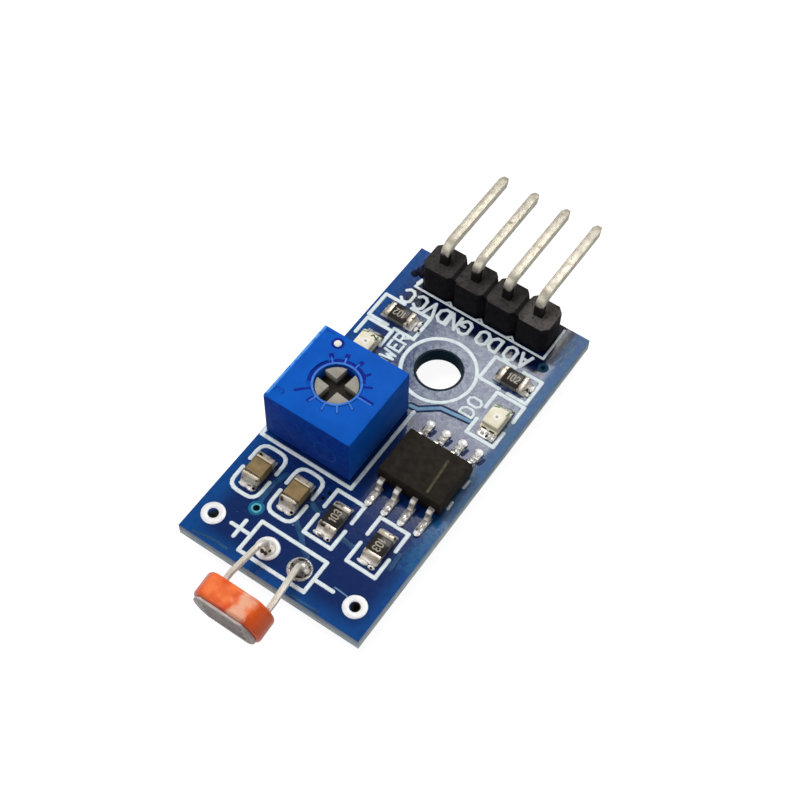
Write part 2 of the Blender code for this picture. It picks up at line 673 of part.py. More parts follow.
def build_comparator(plastic, plating):
    """The moulded package, drafted both ways from its middle, and its eight leads."""
    middle = BOARD_TOP + COMPARATOR_STANDOFF + COMPARATOR_HEIGHT / 2
    centre_x = LEFT_EDGE + COMPARATOR_FROM_LEFT_EDGE
    centre_y = NEAR_EDGE + BOARD_LENGTH * COMPARATOR_SHARE
    mesh = box_mesh("comparator_body", COMPARATOR_LENGTH, COMPARATOR_WIDTH, COMPARATOR_HEIGHT / 2)
    work = bmesh.new()
    work.from_mesh(mesh)
    base = [face for face in work.faces if face.calc_center_median().z < SMALLEST]
    bmesh.ops.delete(work, geom=base, context="FACES_ONLY")
    top = [vert for vert in work.verts if vert.co.z > SMALLEST]
    shrink_x = 1 - 2 * COMPARATOR_DRAFT / COMPARATOR_LENGTH
    shrink_y = 1 - 2 * COMPARATOR_DRAFT / COMPARATOR_WIDTH
    bmesh.ops.scale(work, vec=(shrink_x, shrink_y, 1), verts=top)
    work.to_mesh(mesh)
    work.free()
    package = add_object("comparator_body", mesh, (centre_x, centre_y, middle))
    mirror = package.modifiers.new("lower_half", "MIRROR")
    mirror.use_axis = (False, False, True)
    mirror.merge_threshold = SMALLEST
    finish(package, plastic)

    lead = lead_mesh()
    first = -LEAD_PITCH * (LEADS_PER_SIDE - 1) / 2
    number = 1
    for side in (-1, 1):
        for i in range(LEADS_PER_SIDE):
            x = centre_x + side * -(first + i * LEAD_PITCH)
            place = (x, centre_y + side * COMPARATOR_WIDTH / 2, BOARD_TOP + PAD_THICKNESS)
            turn = (math.pi / 2, 0, side * math.pi / 2)
            finish(add_object(f"comparator_lead_{number}", lead, place, turn), plating)
            number += 1


def cap_mesh(height):
    """A chip's end cap with its solder, from the body outwards along X."""
    outline = [
        (0, 0),
        (CHIP_CAP + CHIP_SOLDER, 0),
        (CHIP_CAP + CHIP_SOLDER * 0.45, height * 0.22),
        (CHIP_CAP, height * 0.75),
        (CHIP_CAP, height),
        (0, height),
    ]
    return flat_mesh("chip_cap", [outline], CHIP_WIDTH)


def build_caps(name, x, y, along_y, height, plating):
    """The two end caps of a chip."""
    mesh = cap_mesh(height)
    reach = CHIP_LENGTH / 2 - CHIP_CAP
    heading = math.pi / 2 if along_y else 0.0
    for letter, side in (("a", 0.0), ("b", math.pi)):
        angle = heading + side
        place = (x + reach * math.cos(angle), y + reach * math.sin(angle), BOARD_TOP + PAD_THICKNESS)
        cap = add_object(f"{name}_cap_{letter}", mesh, place, (math.pi / 2, 0, angle))
        finish(cap, plating)


def build_chip(name, x, y, along_y, height, surface, plating):
    """A chip resistor or capacitor: a plain body between two end caps."""
    build_caps(name, x, y, along_y, height, plating)
    length = CHIP_LENGTH - 2 * CHIP_CAP - 2 * SEAT_GAP
    body = add_object(f"{name}_body", box_mesh(name, length, CHIP_WIDTH, height))
    body.location = (x, y, BOARD_TOP + PAD_THICKNESS)
    body.rotation_euler = (0, 0, math.pi / 2 if along_y else 0.0)
    finish(body, surface)


def build_light(name, x, y, base_surface, lens_surface, plating):
    """A chip light along Y: base, clear lens on it and solder against both ends."""
    bottom = BOARD_TOP + PAD_THICKNESS
    base = box_mesh(name, LIGHT_WIDTH, CHIP_LENGTH, LIGHT_BASE_HEIGHT)
    finish(add_object(f"{name}_base", base, (x, y, bottom)), base_surface)
    lens = box_mesh(name, LIGHT_WIDTH - 2 * LIGHT_LENS_INSET, LIGHT_LENS_LENGTH, LIGHT_LENS_HEIGHT)
    place = (x, y, bottom + LIGHT_BASE_HEIGHT + SEAT_GAP)
    made = add_object(f"{name}_lens", lens, place)
    edge = made.modifiers.new("edges", "BEVEL")
    edge.width = LIGHT_LENS_EDGE
    edge.segments = 2
    finish(made, lens_surface)
    outline = [
        (0, 0),
        (LIGHT_SOLDER, 0),
        (LIGHT_SOLDER * 0.5, LIGHT_BASE_HEIGHT * 0.3),
        (0, LIGHT_BASE_HEIGHT * 0.85),
    ]
    solder = flat_mesh("light_solder", [outline], LIGHT_WIDTH)
    reach = CHIP_LENGTH / 2 + SEAT_GAP
    for letter, side in (("a", 1), ("b", -1)):
        place = (x, y + side * reach, bottom)
        cap = add_object(f"{name}_cap_{letter}", solder, place, (math.pi / 2, 0, side * math.pi / 2))
        finish(cap, plating)


def flatted_outline(radius, flat):
    """A circle cut by two flats, above and below its centre."""
    corner = math.asin(flat / radius)
    right = arc(0, 0, radius, -corner, corner, 2 * BEND_STEPS)
    left = arc(0, 0, radius, math.pi - corner, math.pi + corner, 2 * BEND_STEPS)
    return right + left


def sensor_lead_path(board_x, disc_x, corner_height):
    """A lead's route: up from its tail, over in a bend, and into the back of the disc."""
    disc_y = NEAR_EDGE - SENSOR_PAST_BOARD + SENSOR_LEAD_DROP * math.sin(SENSOR_TILT)
    disc_z = BOARD_TOP + SENSOR_AXIS_HEIGHT - SENSOR_LEAD_DROP * math.cos(SENSOR_TILT)
    bend_size = corner_height * SENSOR_LEAD_BEND_SHARE
    corner = (board_x, SENSOR_ROW, BOARD_TOP + corner_height)
    start = (board_x, SENSOR_ROW, corner[2] - bend_size)
    straight_y = SENSOR_LEAD_STRAIGHT * math.cos(SENSOR_TILT)
    straight_z = SENSOR_LEAD_STRAIGHT * math.sin(SENSOR_TILT)
    near_disc = (disc_x, disc_y + straight_y, disc_z + straight_z)
    run = [near_disc[i] - corner[i] for i in range(3)]
    share = bend_size / math.sqrt(sum(part * part for part in run))
    after = [corner[i] + run[i] * share for i in range(3)]
    bend = []
    for step in range(BEND_STEPS + 1):
        t = step / BEND_STEPS
        weights = ((1 - t) ** 2, 2 * t * (1 - t), t**2)
        bend.append([weights[0] * start[i] + weights[1] * corner[i] + weights[2] * after[i] for i in range(3)])
    end_y = disc_y - SENSOR_LEAD_DEPTH * math.cos(SENSOR_TILT)
    end_z = disc_z - SENSOR_LEAD_DEPTH * math.sin(SENSOR_TILT)
    return [(board_x, SENSOR_ROW, 0.0), *bend, near_disc, (disc_x, end_y, end_z)]


def build_sensor(coating, face_surface, wire):
    """The coated disc, its sensing face and its two leads."""
    place = (ROW_SHIFT, NEAR_EDGE - SENSOR_PAST_BOARD, BOARD_TOP + SENSOR_AXIS_HEIGHT)
    turn = (SENSOR_TILT + math.pi / 2, 0, 0)
    disc_mesh = flat_mesh("sensor_disc", [flatted_outline(SENSOR_RADIUS, SENSOR_FLAT)], SENSOR_DISC_THICKNESS)
    disc_mesh.transform(Matrix.Translation((0, 0, SENSOR_DISC_THICKNESS / 2)))
    disc = add_object("sensor_disc", disc_mesh, place, turn)
    edge = disc.modifiers.new("edges", "BEVEL")
    edge.width = SENSOR_DISC_EDGE
    edge.segments = 3
    edge.angle_limit = math.radians(50)
    hole = SENSOR_LEAD_RADIUS + SEAT_GAP
    depth = SENSOR_LEAD_DEPTH + SEAT_GAP
    spots = (-SENSOR_LEAD_SPACING / 2, SENSOR_LEAD_SPACING / 2)
    holes = [(x, -SENSOR_LEAD_DROP, hole, -depth, depth) for x in spots]
    drums = drums_mesh("sensor_holes", holes, WIRE_STEPS)
    with_modifier(disc, "DIFFERENCE", add_object("sensor_holes", drums, place, turn, collection=cutters))
    finish(disc, coating)

    radius = SENSOR_RADIUS - SENSOR_FACE_BORDER
    flat = SENSOR_FLAT - SENSOR_FACE_BORDER
    face = flat_mesh("sensor_face", [flatted_outline(radius, flat)], SENSOR_FACE_THICKNESS)
    shift = SENSOR_DISC_THICKNESS + SEAT_GAP + SENSOR_FACE_THICKNESS / 2
    face.transform(Matrix.Translation((0, 0, shift)))
    finish(add_object("sensor_face", face, place, turn), face_surface)

    places = zip(sensor_columns(), spots, SENSOR_LEAD_HEIGHTS)
    for number, (board_x, spot, corner_height) in enumerate(places, start=1):
        name = f"sensor_lead_{number}"
        path = sensor_lead_path(board_x, ROW_SHIFT + spot, corner_height)
        lead = wire_mesh(name, path, SENSOR_LEAD_RADIUS, 2)
        hole_radius = SENSOR_LEAD_RADIUS + SOLDERED_GAP
        joint = lead_joint(name, board_x, SENSOR_ROW, hole_radius, SENSOR_LEAD_RADIUS)
        bottom = BOARD_TOP + SEAT_GAP
        top = bottom + TOP_JOINT_HEIGHT
        border = hole_radius + JOINT_BORDER
        cone = turned_mesh(
            name, [(0, top), (SENSOR_LEAD_RADIUS * 1.3, top), (border, bottom), (0, bottom)], WIRE_STEPS
        )
        cone.transform(Matrix.Translation((board_x, SENSOR_ROW, 0)))
        finish(add_object(name, joined_mesh(name, joint, lead, cone)), wire)


def build_module():
    """Every piece of the module."""
    clear_scene()
    mask = make_material("board_mask", (0.02, 0.11, 0.42), 0.35)
    black = make_material("header_plastic", (0.02, 0.02, 0.022), 0.5)
    plating = make_material("tin_plating", (0.78, 0.74, 0.66), 0.28, 1.0)
    solder = make_material("bright_solder", (0.8, 0.8, 0.82), 0.25, 1.0)
    blue = make_material("trimmer_plastic", (0.02, 0.17, 0.66), 0.4)
    grey = make_material("rotor_plastic", (0.5, 0.48, 0.45), 0.5)
    bronze = make_material("spring_bronze", (0.7, 0.5, 0.25), 0.35, 1.0)
    ceramic = make_material("ceramic", (0.85, 0.84, 0.8), 0.6)
    resin = make_material("seal_resin", (0.05, 0.12, 0.35), 0.4)
    rubber = make_material("ring_rubber", (0.03, 0.03, 0.03), 0.7)
    package = make_material("package_resin", (0.035, 0.032, 0.03), 0.55)
    film = make_material("resistor_glass", (0.03, 0.028, 0.027), 0.3)
    tan = make_material("capacitor_ceramic", (0.42, 0.33, 0.2), 0.45)
    ivory = make_material("light_base", (0.8, 0.76, 0.6), 0.5)
    lens = make_material("light_lens", (0.85, 0.83, 0.68), 0.15, 0.0, 0.85)
    orange = make_material("sensor_coating", (0.75, 0.13, 0.03), 0.2)
    face = make_material("sensor_face", (0.42, 0.38, 0.38), 0.5)

    build_board(mask)
    build_header(black, plating)
    build_trimmer_housing(blue)
    build_rotor(grey, bronze)
    build_trimmer_base(ceramic, resin, rubber, solder)
    build_comparator(package, solder)

    near_y = NEAR_EDGE + BOARD_LENGTH * NEAR_CHIPS_SHARE
    far_y = NEAR_EDGE + BOARD_LENGTH * FAR_CHIPS_SHARE
    chips = (
        ("capacitor_1", FIRST_CAPACITOR_FROM_LEFT_EDGE, near_y, True, CAPACITOR_HEIGHT, tan),
        ("capacitor_2", SECOND_CAPACITOR_FROM_LEFT_EDGE, near_y, True, CAPACITOR_HEIGHT, tan),
        ("resistor_1", FIRST_RESISTOR_FROM_LEFT_EDGE, near_y, True, RESISTOR_HEIGHT, film),
        ("resistor_2", SECOND_RESISTOR_FROM_LEFT_EDGE, near_y, True, RESISTOR_HEIGHT, film),
        ("resistor_3", THIRD_RESISTOR_FROM_LEFT_EDGE, far_y, False, RESISTOR_HEIGHT, film),
        ("resistor_4", FOURTH_RESISTOR_FROM_LEFT_EDGE, far_y, False, RESISTOR_HEIGHT, film),
    )
    for name, from_left, y, along_y, height, surface in chips:
        build_chip(name, LEFT_EDGE + from_left, y, along_y, height, surface, solder)
    lights_y = NEAR_EDGE + BOARD_LENGTH * LIGHTS_SHARE
    build_light("power_light", LEFT_EDGE + POWER_LIGHT_FROM_LEFT_EDGE, lights_y, ivory, lens, solder)
    build_light("output_light", LEFT_EDGE + OUTPUT_LIGHT_FROM_LEFT_EDGE, lights_y, ivory, lens, solder)
    build_sensor(orange, face, solder)


build_module()
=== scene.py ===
# %% [markdown]
# # A light sensor module
# The module is a small blue circuit board with a light sensor on two bent wires, a blue
# trimmer, a comparator, chip parts and a bent pin header. The solids come packed from the
# CAD step and stay where they are. This script gives them their finishes, and adds what
# the CAD leaves out: printing, solder, copper, dial marks and wear.

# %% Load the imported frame
import math
import random

import bpy
from mathutils import Matrix, Vector


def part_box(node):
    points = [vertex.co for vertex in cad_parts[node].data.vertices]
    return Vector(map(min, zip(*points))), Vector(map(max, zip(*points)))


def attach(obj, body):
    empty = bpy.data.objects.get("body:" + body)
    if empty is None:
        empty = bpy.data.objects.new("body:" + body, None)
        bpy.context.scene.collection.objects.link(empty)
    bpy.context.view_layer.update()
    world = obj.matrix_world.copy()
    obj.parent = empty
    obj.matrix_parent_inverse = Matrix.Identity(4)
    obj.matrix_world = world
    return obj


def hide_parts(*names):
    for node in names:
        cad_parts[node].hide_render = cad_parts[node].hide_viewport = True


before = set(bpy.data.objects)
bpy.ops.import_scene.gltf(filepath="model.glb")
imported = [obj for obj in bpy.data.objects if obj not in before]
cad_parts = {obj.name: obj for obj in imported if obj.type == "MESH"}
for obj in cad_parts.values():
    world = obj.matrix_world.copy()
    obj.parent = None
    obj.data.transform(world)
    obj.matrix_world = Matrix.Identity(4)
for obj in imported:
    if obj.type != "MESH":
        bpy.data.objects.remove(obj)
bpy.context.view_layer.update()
MM = 0.001
BODY = "module"
ROTOR = "rotor"
BOARD_LOW, BOARD_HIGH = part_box("board")
LANDING_RISE = 0.04 * MM
TOP = BOARD_HIGH.z - LANDING_RISE
UNDERSIDE = -1.0
print("nodes:", len(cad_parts), "board top at", round(TOP / MM, 3), "mm")

# %% [markdown]
# Most sizes below are in millimetres from the board's left edge and its sensor end, as a
# person with a ruler would take them. One helper turns such a place into the frame's
# metres, and one measures a CAD node the same way.

# %% Places on the board


def at(x, y, z=0.0):
    """A place in millimetres from the board's left and near edges and its top face."""
    return Vector((BOARD_LOW.x + x * MM, BOARD_LOW.y + y * MM, TOP + z * MM))


def extent(node):
    """A node's left, right, near, far and top on the board, in millimetres."""
    low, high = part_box(node)
    across = [(v - BOARD_LOW.x) / MM for v in (low.x, high.x)]
    along = [(v - BOARD_LOW.y) / MM for v in (low.y, high.y)]
    return (*across, *along, (high.z - TOP) / MM)


print("board, left to far side:", [round(v, 2) for v in extent("board")])

# %% [markdown]
# The camera looks down at the board from the right of its sensor end. Its place and its
# three axes were worked out from the pitch of the header pins and the sides of the board.

# %% Camera
CAMERA_PLACE = at(36.65, -31.48, 86.79)
CAMERA_RIGHT = Vector((0.82282, 0.56794, 0.02055))
CAMERA_UP = Vector((-0.48568, 0.68394, 0.54437))
CAMERA_BACK = Vector((0.29512, -0.45790, 0.83859))
FOCAL_PIXELS = 1544.5
PHOTO_PIXELS = 800
FILM_WIDTH = 36

bpy.ops.object.camera_add()
camera = bpy.context.object
camera.data.sensor_width = FILM_WIDTH
camera.data.lens = FILM_WIDTH * FOCAL_PIXELS / PHOTO_PIXELS
camera.data.clip_start = 0.001
turn = Matrix((CAMERA_RIGHT, CAMERA_UP, CAMERA_BACK)).transposed().to_4x4()
camera.matrix_world = Matrix.Translation(CAMERA_PLACE) @ turn
bpy.context.scene.camera = camera
bpy.context.scene.view_settings.view_transform = "Standard"
print("lens:", round(camera.data.lens, 2), "mm")

# %% [markdown]
# A finish is a tree of nodes. A few small helpers keep each tree short to write: an input
# takes a number, a colour or another node's socket, and a socket knows its own tree.

# %% Helpers for nodes


def give(target, value):
    """Feed an input by a socket, or set it to a number or to a colour's three parts."""
    if isinstance(value, bpy.types.NodeSocket):
        target.id_data.links.new(value, target)
    else:
        target.default_value = (*value, 1.0) if target.type == "RGBA" else value


def add_node(tree, kind, **values):
    """A node with some of its settings and inputs given."""
    made = tree.nodes.new("ShaderNode" + kind)
    for name, value in values.items():
        if hasattr(made, name):
            setattr(made, name, value)
        else:
            give(made.inputs[name.replace("_", " ")], value)
    return made


def math_node(operation, *values):
    """One step of arithmetic on sockets and numbers."""
    tree = next(v for v in values if isinstance(v, bpy.types.NodeSocket)).id_data
    made = add_node(tree, "Math", operation=operation)
    for target, value in zip(made.inputs, values):
        give(target, value)
    return made.outputs[0]


def times(first, second):
    """The product of two values."""
    return math_node("MULTIPLY", first, second)


def ranged(value, start, end, **choices):
    """0 at start and 1 at end, even between."""
    made = add_node(value.id_data, "MapRange", Value=value, From_Min=start, From_Max=end, **choices)
    return made.outputs["Result"]


def step_over(value, start, end):
    """0 at start and 1 at end, smooth between."""
    return ranged(value, start, end, interpolation_type="SMOOTHSTEP")


def over(share, low, high):
    """A colour laid over another one by a share."""
    made = add_node(share.id_data, "Mix", data_type="RGBA", Factor=share, A=low, B=high)
    return made.outputs["Result"]


def stretched(place, factors):
    """A place drawn out or pressed along each axis."""
    made = add_node(place.id_data, "VectorMath", operation="MULTIPLY", Vector=place)
    made.inputs[1].default_value = factors
    return made.outputs[0]


def place_in(tree):
    """The place on the piece, in millimetres."""
    return stretched(add_node(tree, "TexCoord").outputs["Object"], (1 / MM,) * 3)


def parts(vector):
    """The x, y and z of a vector."""
    return add_node(vector.id_data, "SeparateXYZ", Vector=vector).outputs


def facing(tree):
    """The x, y and z of the direction that the surface faces."""
    return parts(add_node(tree, "TexCoord").outputs["Normal"])


def noise(place, scale, detail, **choices):
    """Soft clouds of about 0.5, so many to the millimetre."""
    made = add_node(place.id_data, "TexNoise", Vector=place, Scale=scale, Detail=detail, **choices)
    return made.outputs["Fac"]


print("a place on the board:", [round(v / MM, 2) for v in at(14.0, 27.5)])

# %% [markdown]
# A shader's values that are the same all over are set once. Its colour, roughness and
# bump come from sockets. What several finishes share is a group, made once and then used.

# %% Helpers for finishes and groups
COLOUR = "NodeSocketColor"
NUMBER = "NodeSocketFloat"


def new_finish(name, metallic=0.0, coat=0.0, specular=0.12):
    """A material, its tree and its Principled shader."""
    made = bpy.data.materials.new(name)
    made.use_nodes = True
    shader = made.node_tree.nodes["Principled BSDF"]
    shader.inputs["Metallic"].default_value = metallic
    shader.inputs["Coat Weight"].default_value = coat
    shader.inputs["Coat Roughness"].default_value = 0.12
    shader.inputs["Specular IOR Level"].default_value = specular
    return made, made.node_tree, shader


def dress(shader, colour, roughness, height, strength, depth):
    """Feed a shader its colour and roughness, and a bump of a depth in millimetres."""
    bump = add_node(shader.id_data, "Bump", Strength=strength, Distance=depth * MM, Height=height)
    give(shader.inputs["Base Color"], colour)
    give(shader.inputs["Roughness"], roughness)
    give(shader.inputs["Normal"], bump.outputs["Normal"])


def new_group(name, colours, numbers, results):
    """A group that takes colours and numbers, and gives one colour and some numbers."""
    group = bpy.data.node_groups.new(name, "ShaderNodeTree")
    sockets = [("INPUT", COLOUR, label) for label in colours]
    sockets += [("INPUT", NUMBER, label) for label in numbers]
    sockets += [("OUTPUT", COLOUR, "Colour")]
    sockets += [("OUTPUT", NUMBER, label) for label in results]
    for way, kind, label in sockets:
        group.interface.new_socket(label, in_out=way, socket_type=kind)
    given = group.nodes.new("NodeGroupInput").outputs
    return group, given, group.nodes.new("NodeGroupOutput").inputs


def use(tree, group, *values):
    """A group in a finish, with its inputs given in their order."""
    made = add_node(tree, "Group", node_tree=group)
    for target, value in zip(made.inputs, values):
        give(target, value)
    return made.outputs


# %% [markdown]
# No moulded, fired or plated surface is one flat tone. The first group varies a colour in
# soft clouds and gives a fine grain as height. It works in millimetres, so that a number
# such as 4 means about four clouds to the millimetre, whatever the piece.

# %% Group: clouds and grain
tone, given, result = new_group(
    "cloud_and_grain",
    ["Colour", "Second Colour"],
    ["Clouds", "Grain", "Smooth", "Rough"],
    ["Roughness", "Height"],
)
place = place_in(tone)
clouds = ranged(noise(place, given["Clouds"], 3.0), 0.35, 0.65)
grain = noise(place, given["Grain"], 2.0)
give(result["Colour"], over(clouds, given["Colour"], given["Second Colour"]))
give(result["Height"], grain)
sheen = ranged(grain, 0.3, 0.7, To_Min=given["Smooth"], To_Max=given["Rough"])
give(result["Roughness"], sheen)
print("group:", tone.name, "with", len(tone.nodes), "nodes")

# %% [markdown]
# Solder and tinned metal carry darker spots where flux burnt on. The second group puts
# such spots on a metal tone, with a threshold on a noise that sets how much they cover.

# %% Group: flux spots
spots, given, result = new_group(
    "flux_spots", ["Colour", "Spot Colour"], ["Scale", "Cover"], ["Height"]
)
patch = noise(place_in(spots), given["Scale"], 2.0, Distortion=0.6)
covered = ranged(math_node("SUBTRACT", given["Cover"], patch), -0.04, 0.05)
give(result["Colour"], over(covered, given["Colour"], given["Spot Colour"]))
give(result["Height"], patch)
print("group:", spots.name, "with", len(spots.nodes), "nodes")

# %% [markdown]
# Most finishes here are one toned surface: two close colours in clouds, a range of
# roughness and a slight bump. One function makes them all from their own values. A metal
# joins both groups: clouds under, spots on top. Dull metal is a little less of a metal.

# %% Toned finishes and metals
METAL_CLOUDS = 1.8
METAL_GRAIN = 9.0


def toned(name, colour, second, clouds, grain, smooth, rough, depth=0.01, strength=0.5, **values):
    """A finish of two close colours with its own grain; values are the shader's."""
    made, tree, shader = new_finish(name, **values)
    skin = use(tree, tone, colour, second, clouds, grain, smooth, rough)
    dress(shader, skin["Colour"], skin["Roughness"], skin["Height"], strength, depth)
    return made


def metal(name, colour, second, spot, scale, cover, smooth, rough, depth=0.02, metallic=1.0):
    """A tinned or soldered surface with flux spots."""
    made, tree, shader = new_finish(name, metallic=metallic, specular=0.5)
    skin = use(tree, tone, colour, second, METAL_CLOUDS, METAL_GRAIN, smooth, rough)
    flux = use(tree, spots, skin["Colour"], spot, scale, cover)
    dress(shader, flux["Colour"], skin["Roughness"], flux["Height"], 0.5, depth)
    return made


def laid_over(made, share, colour):
    """Lay a colour over a finish's own colour by a share."""
    base = made.node_tree.nodes["Principled BSDF"].inputs["Base Color"]
    give(base, over(share, base.links[0].from_socket, colour))


ink_white = toned("ink_white", (0.76, 0.84, 0.86), (0.66, 0.73, 0.76), 2.5, 14, 0.45, 0.65)
solder_bright = metal(
    "solder_bright", (0.95, 0.93, 0.9), (0.8, 0.76, 0.7), (0.08, 0.055, 0.04),
    1.7, 0.4, 0.15, 0.4, 0.05, 0.7,
)
solder_dull = metal(
    "solder_dull", (0.62, 0.6, 0.56), (0.36, 0.33, 0.3), (0.05, 0.04, 0.03),
    2.2, 0.42, 0.2, 0.45, 0.06, 0.8,
)
solder_white = metal(
    "solder_white", (0.97, 0.96, 0.94), (0.86, 0.83, 0.79), (0.1, 0.075, 0.06),
    1.5, 0.36, 0.15, 0.35, 0.04, 0.3,
)
pad_tin = metal(
    "pad_tin", (0.95, 0.94, 0.94), (0.85, 0.85, 0.86), (0.6, 0.6, 0.6),
    1.0, 0.25, 0.35, 0.55, 0.01, 0.3,
)
print("finishes:", [made.name for made in bpy.data.materials])

# %% [markdown]
# The solder mask is a glassy blue film. It looks indigo over the copper area, a deeper
# navy over the bare strip along the header, and a clearer blue at the edges of the board.
# The fields are plain rectangles in millimetres, so they are worked out from Object
# coordinates, and a noise roughens their borders. Round the mounting hole and in the far
# right corner, a pale grey lies in patches. It is wear, and with it a painted reflection
# of a lamp's glare on the film.

# %% Board: colours of the mask
MASK_EDGE = (0.0035, 0.06, 0.245)
MASK_COPPER = (0.0035, 0.019, 0.105)
MASK_BARE = (0.0015, 0.003, 0.02)
MASK_WIDE = (0.004, 0.028, 0.12)
MASK_WEAR_AND_GLARE = (0.11, 0.15, 0.215)
MASK_RIGHT = (0.012, 0.1, 0.24)
MASK_SPECK = (0.12, 0.2, 0.34)


def field(x, y, left, right, near, far, soft=0.12):
    """1 inside a rectangle given in millimetres on the board."""
    inside = step_over(x, left - soft, left + soft)
    for value, start, end in (
        (x, right + soft, right - soft),
        (y, near - soft, near + soft),
        (y, far + soft, far - soft),
    ):
        inside = times(inside, step_over(value, start, end))
    return inside


board_blue, tree, shader = new_finish("board_blue", specular=0.5)
place = place_in(tree)
x, y, z = parts(place)
flat = [math_node("SUBTRACT", x, BOARD_LOW.x / MM), math_node("SUBTRACT", y, BOARD_LOW.y / MM)]
shift = times(math_node("SUBTRACT", noise(place, 1.5, 3.0), 0.5), 0.3)
wavy = [math_node("ADD", value, shift) for value in flat]

copper = field(*wavy, 1.15, 13.35, 0.75, 27.0, 0.7)
bare = field(*wavy, 1.6, 12.9, 22.95, 28.0)
mask = over(bare, over(copper, MASK_EDGE, MASK_COPPER), MASK_BARE)
mottle = noise(place, 2.6, 4.0, Roughness=0.6)
mask = over(times(step_over(mottle, 0.42, 0.72), 0.4), mask, MASK_WIDE)
dusty = step_over(noise(place, 7.0, 2.0), 0.66, 0.74)
dusty = times(dusty, field(*wavy, 1.9, 9.5, 2.4, 8.6, 0.3))
mask = over(times(dusty, 0.45), mask, MASK_SPECK)
right = times(field(*wavy, 13.0, 14.5, 5.5, 28.0, 0.4), step_over(mottle, 0.25, 0.65))
mask = over(right, mask, MASK_RIGHT)
streaks = step_over(noise(stretched(place, (2.6, 0.5, 1.0)), 2.2, 3.0), 0.45, 0.6)
corner = times(field(*wavy, 12.6, 13.5, 24.4, 27.0, 0.2), streaks)
# Pale patches round the hole and in the far right corner: wear, and painted glare.
wear_and_glare = math_node("MAXIMUM", field(*wavy, 2.6, 13.3, 15.8, 22.9, 0.5), corner)
scuffs = noise(place, 1.6, 6.0, Roughness=0.75, Distortion=1.2)
mask = over(times(wear_and_glare, step_over(scuffs, 0.38, 0.62)), mask, MASK_WEAR_AND_GLARE)
print("mask:", len(tree.nodes), "nodes")

# %% [markdown]
# The board's cut sides show the laminate: pale glass fibres in a grey-green resin, stained
# blue where the mask ran over the edge. The mounting hole's wall is nearly black. The film
# is smooth, and only its right margin is satin, so that it stays blue under the lamps.

# %% Board: cut sides and sheen
LAMINATE = (0.17, 0.32, 0.4)
FIBRE = (0.6, 0.76, 0.82)
MASK_STAIN = (0.02, 0.085, 0.22)
HOLE_WALL = (0.004, 0.02, 0.035)
HOLE_MIDDLE = (6.9, 19.4)


def painted(node, material):
    """Give a CAD node, which stays as it is, its finish."""
    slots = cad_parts[node].data.materials
    slots.clear()
    slots.append(material)


side = step_over(math_node("ABSOLUTE", facing(tree)["Z"]), 0.6, 0.4)
fibres = noise(stretched(place, (0.35, 0.35, 3.0)), 3.0, 4.0)
cut = over(step_over(fibres, 0.36, 0.56), LAMINATE, FIBRE)
stained = step_over(math_node("ADD", z, shift), TOP / MM - 0.85, TOP / MM)
cut = over(times(stained, 0.92), cut, MASK_STAIN)
from_hole = [math_node("SUBTRACT", value, v) for value, v in zip(flat, HOLE_MIDDLE)]
squares = math_node("ADD", *(times(value, value) for value in from_hole))
in_hole = step_over(squares, 1.72**2, 1.64**2)
colour = over(in_hole, over(side, mask, cut), HOLE_WALL)
peel = noise(place, 5.0, 3.0, Roughness=0.6)
sheen = ranged(peel, 0.3, 0.7, To_Min=0.06, To_Max=0.16)
satin = math_node(
    "MAXIMUM",
    field(*flat, 13.15, 14.5, 10.0, 28.0, 0.3),
    field(*flat, 12.5, 14.5, 24.2, 28.0, 0.3),
)
dress(shader, colour, math_node("ADD", sheen, times(satin, 0.34)), peel, 0.35, 0.008)
painted("board", board_blue)
print("board finish:", len(tree.nodes), "nodes")

# %% [markdown]
# The CAD solids have sharp edges, and a real moulding catches light along a small rounded
# edge. So a softened copy stands in for such a solid: its loose triangles are merged, a
# Bevel modifier rounds the edges by a few hundredths of a millimetre, and the form stays.
# Nearly every finish belongs to one material slot of the record, and a table lists it. The
# ivory of the chip lights serves two slots, and its pieces name theirs. A piece's slot is
# looked up, but not stored on it.

# %% Helpers: soften a solid
SLOTS = {
    "header_black": "header_plastic",
    "pin_tin": "tin_plating",
    "resistor_skin": "resistor_glass",
    "cap_tan": "capacitor_ceramic",
    "moulding_brown": "package_resin",
    "trimmer_blue": "trimmer_plastic",
    "rotor_grey": "rotor_plastic",
    "resin_orange": "sensor_coating",
    "face_grey": "sensor_face",
}
for name in ("pad_tin", "wire_tin", "shaded_leg_tin", "resistor_tin", "capacitor_tin"):
    SLOTS[name] = "bright_solder"
for name in ("solder_bright", "solder_dull", "solder_white"):
    SLOTS[name] = "bright_solder"


def only(thing):
    """Select one object and nothing else."""
    bpy.ops.object.select_all(action="DESELECT")
    thing.select_set(True)
    bpy.context.view_layer.objects.active = thing
    return thing


def merged_copy(node, name):
    """A new object with a merged copy of a CAD node's mesh."""
    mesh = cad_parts[node].data.copy()
    mesh.materials.clear()
    made = bpy.data.objects.new(name, mesh)
    bpy.context.scene.collection.objects.link(made)
    only(made)
    bpy.ops.object.mode_set(mode="EDIT")
    bpy.ops.mesh.select_all(action="SELECT")
    bpy.ops.mesh.remove_doubles(threshold=0.0005 * MM)
    bpy.ops.mesh.customdata_custom_splitnormals_clear()
    bpy.ops.mesh.dissolve_limited(angle_limit=math.radians(1))
    bpy.ops.object.mode_set(mode="OBJECT")
    return made


def bevel(thing, width, segments, method, angle=30):
    """Round the edges that a method picks, by a width in millimetres."""
    edge = thing.modifiers.new("edges", "BEVEL")
    edge.width = width * MM
    edge.segments = segments
    edge.limit_method = method
    edge.angle_limit = math.radians(angle)
    only(thing)
    bpy.ops.object.modifier_apply(modifier=edge.name)


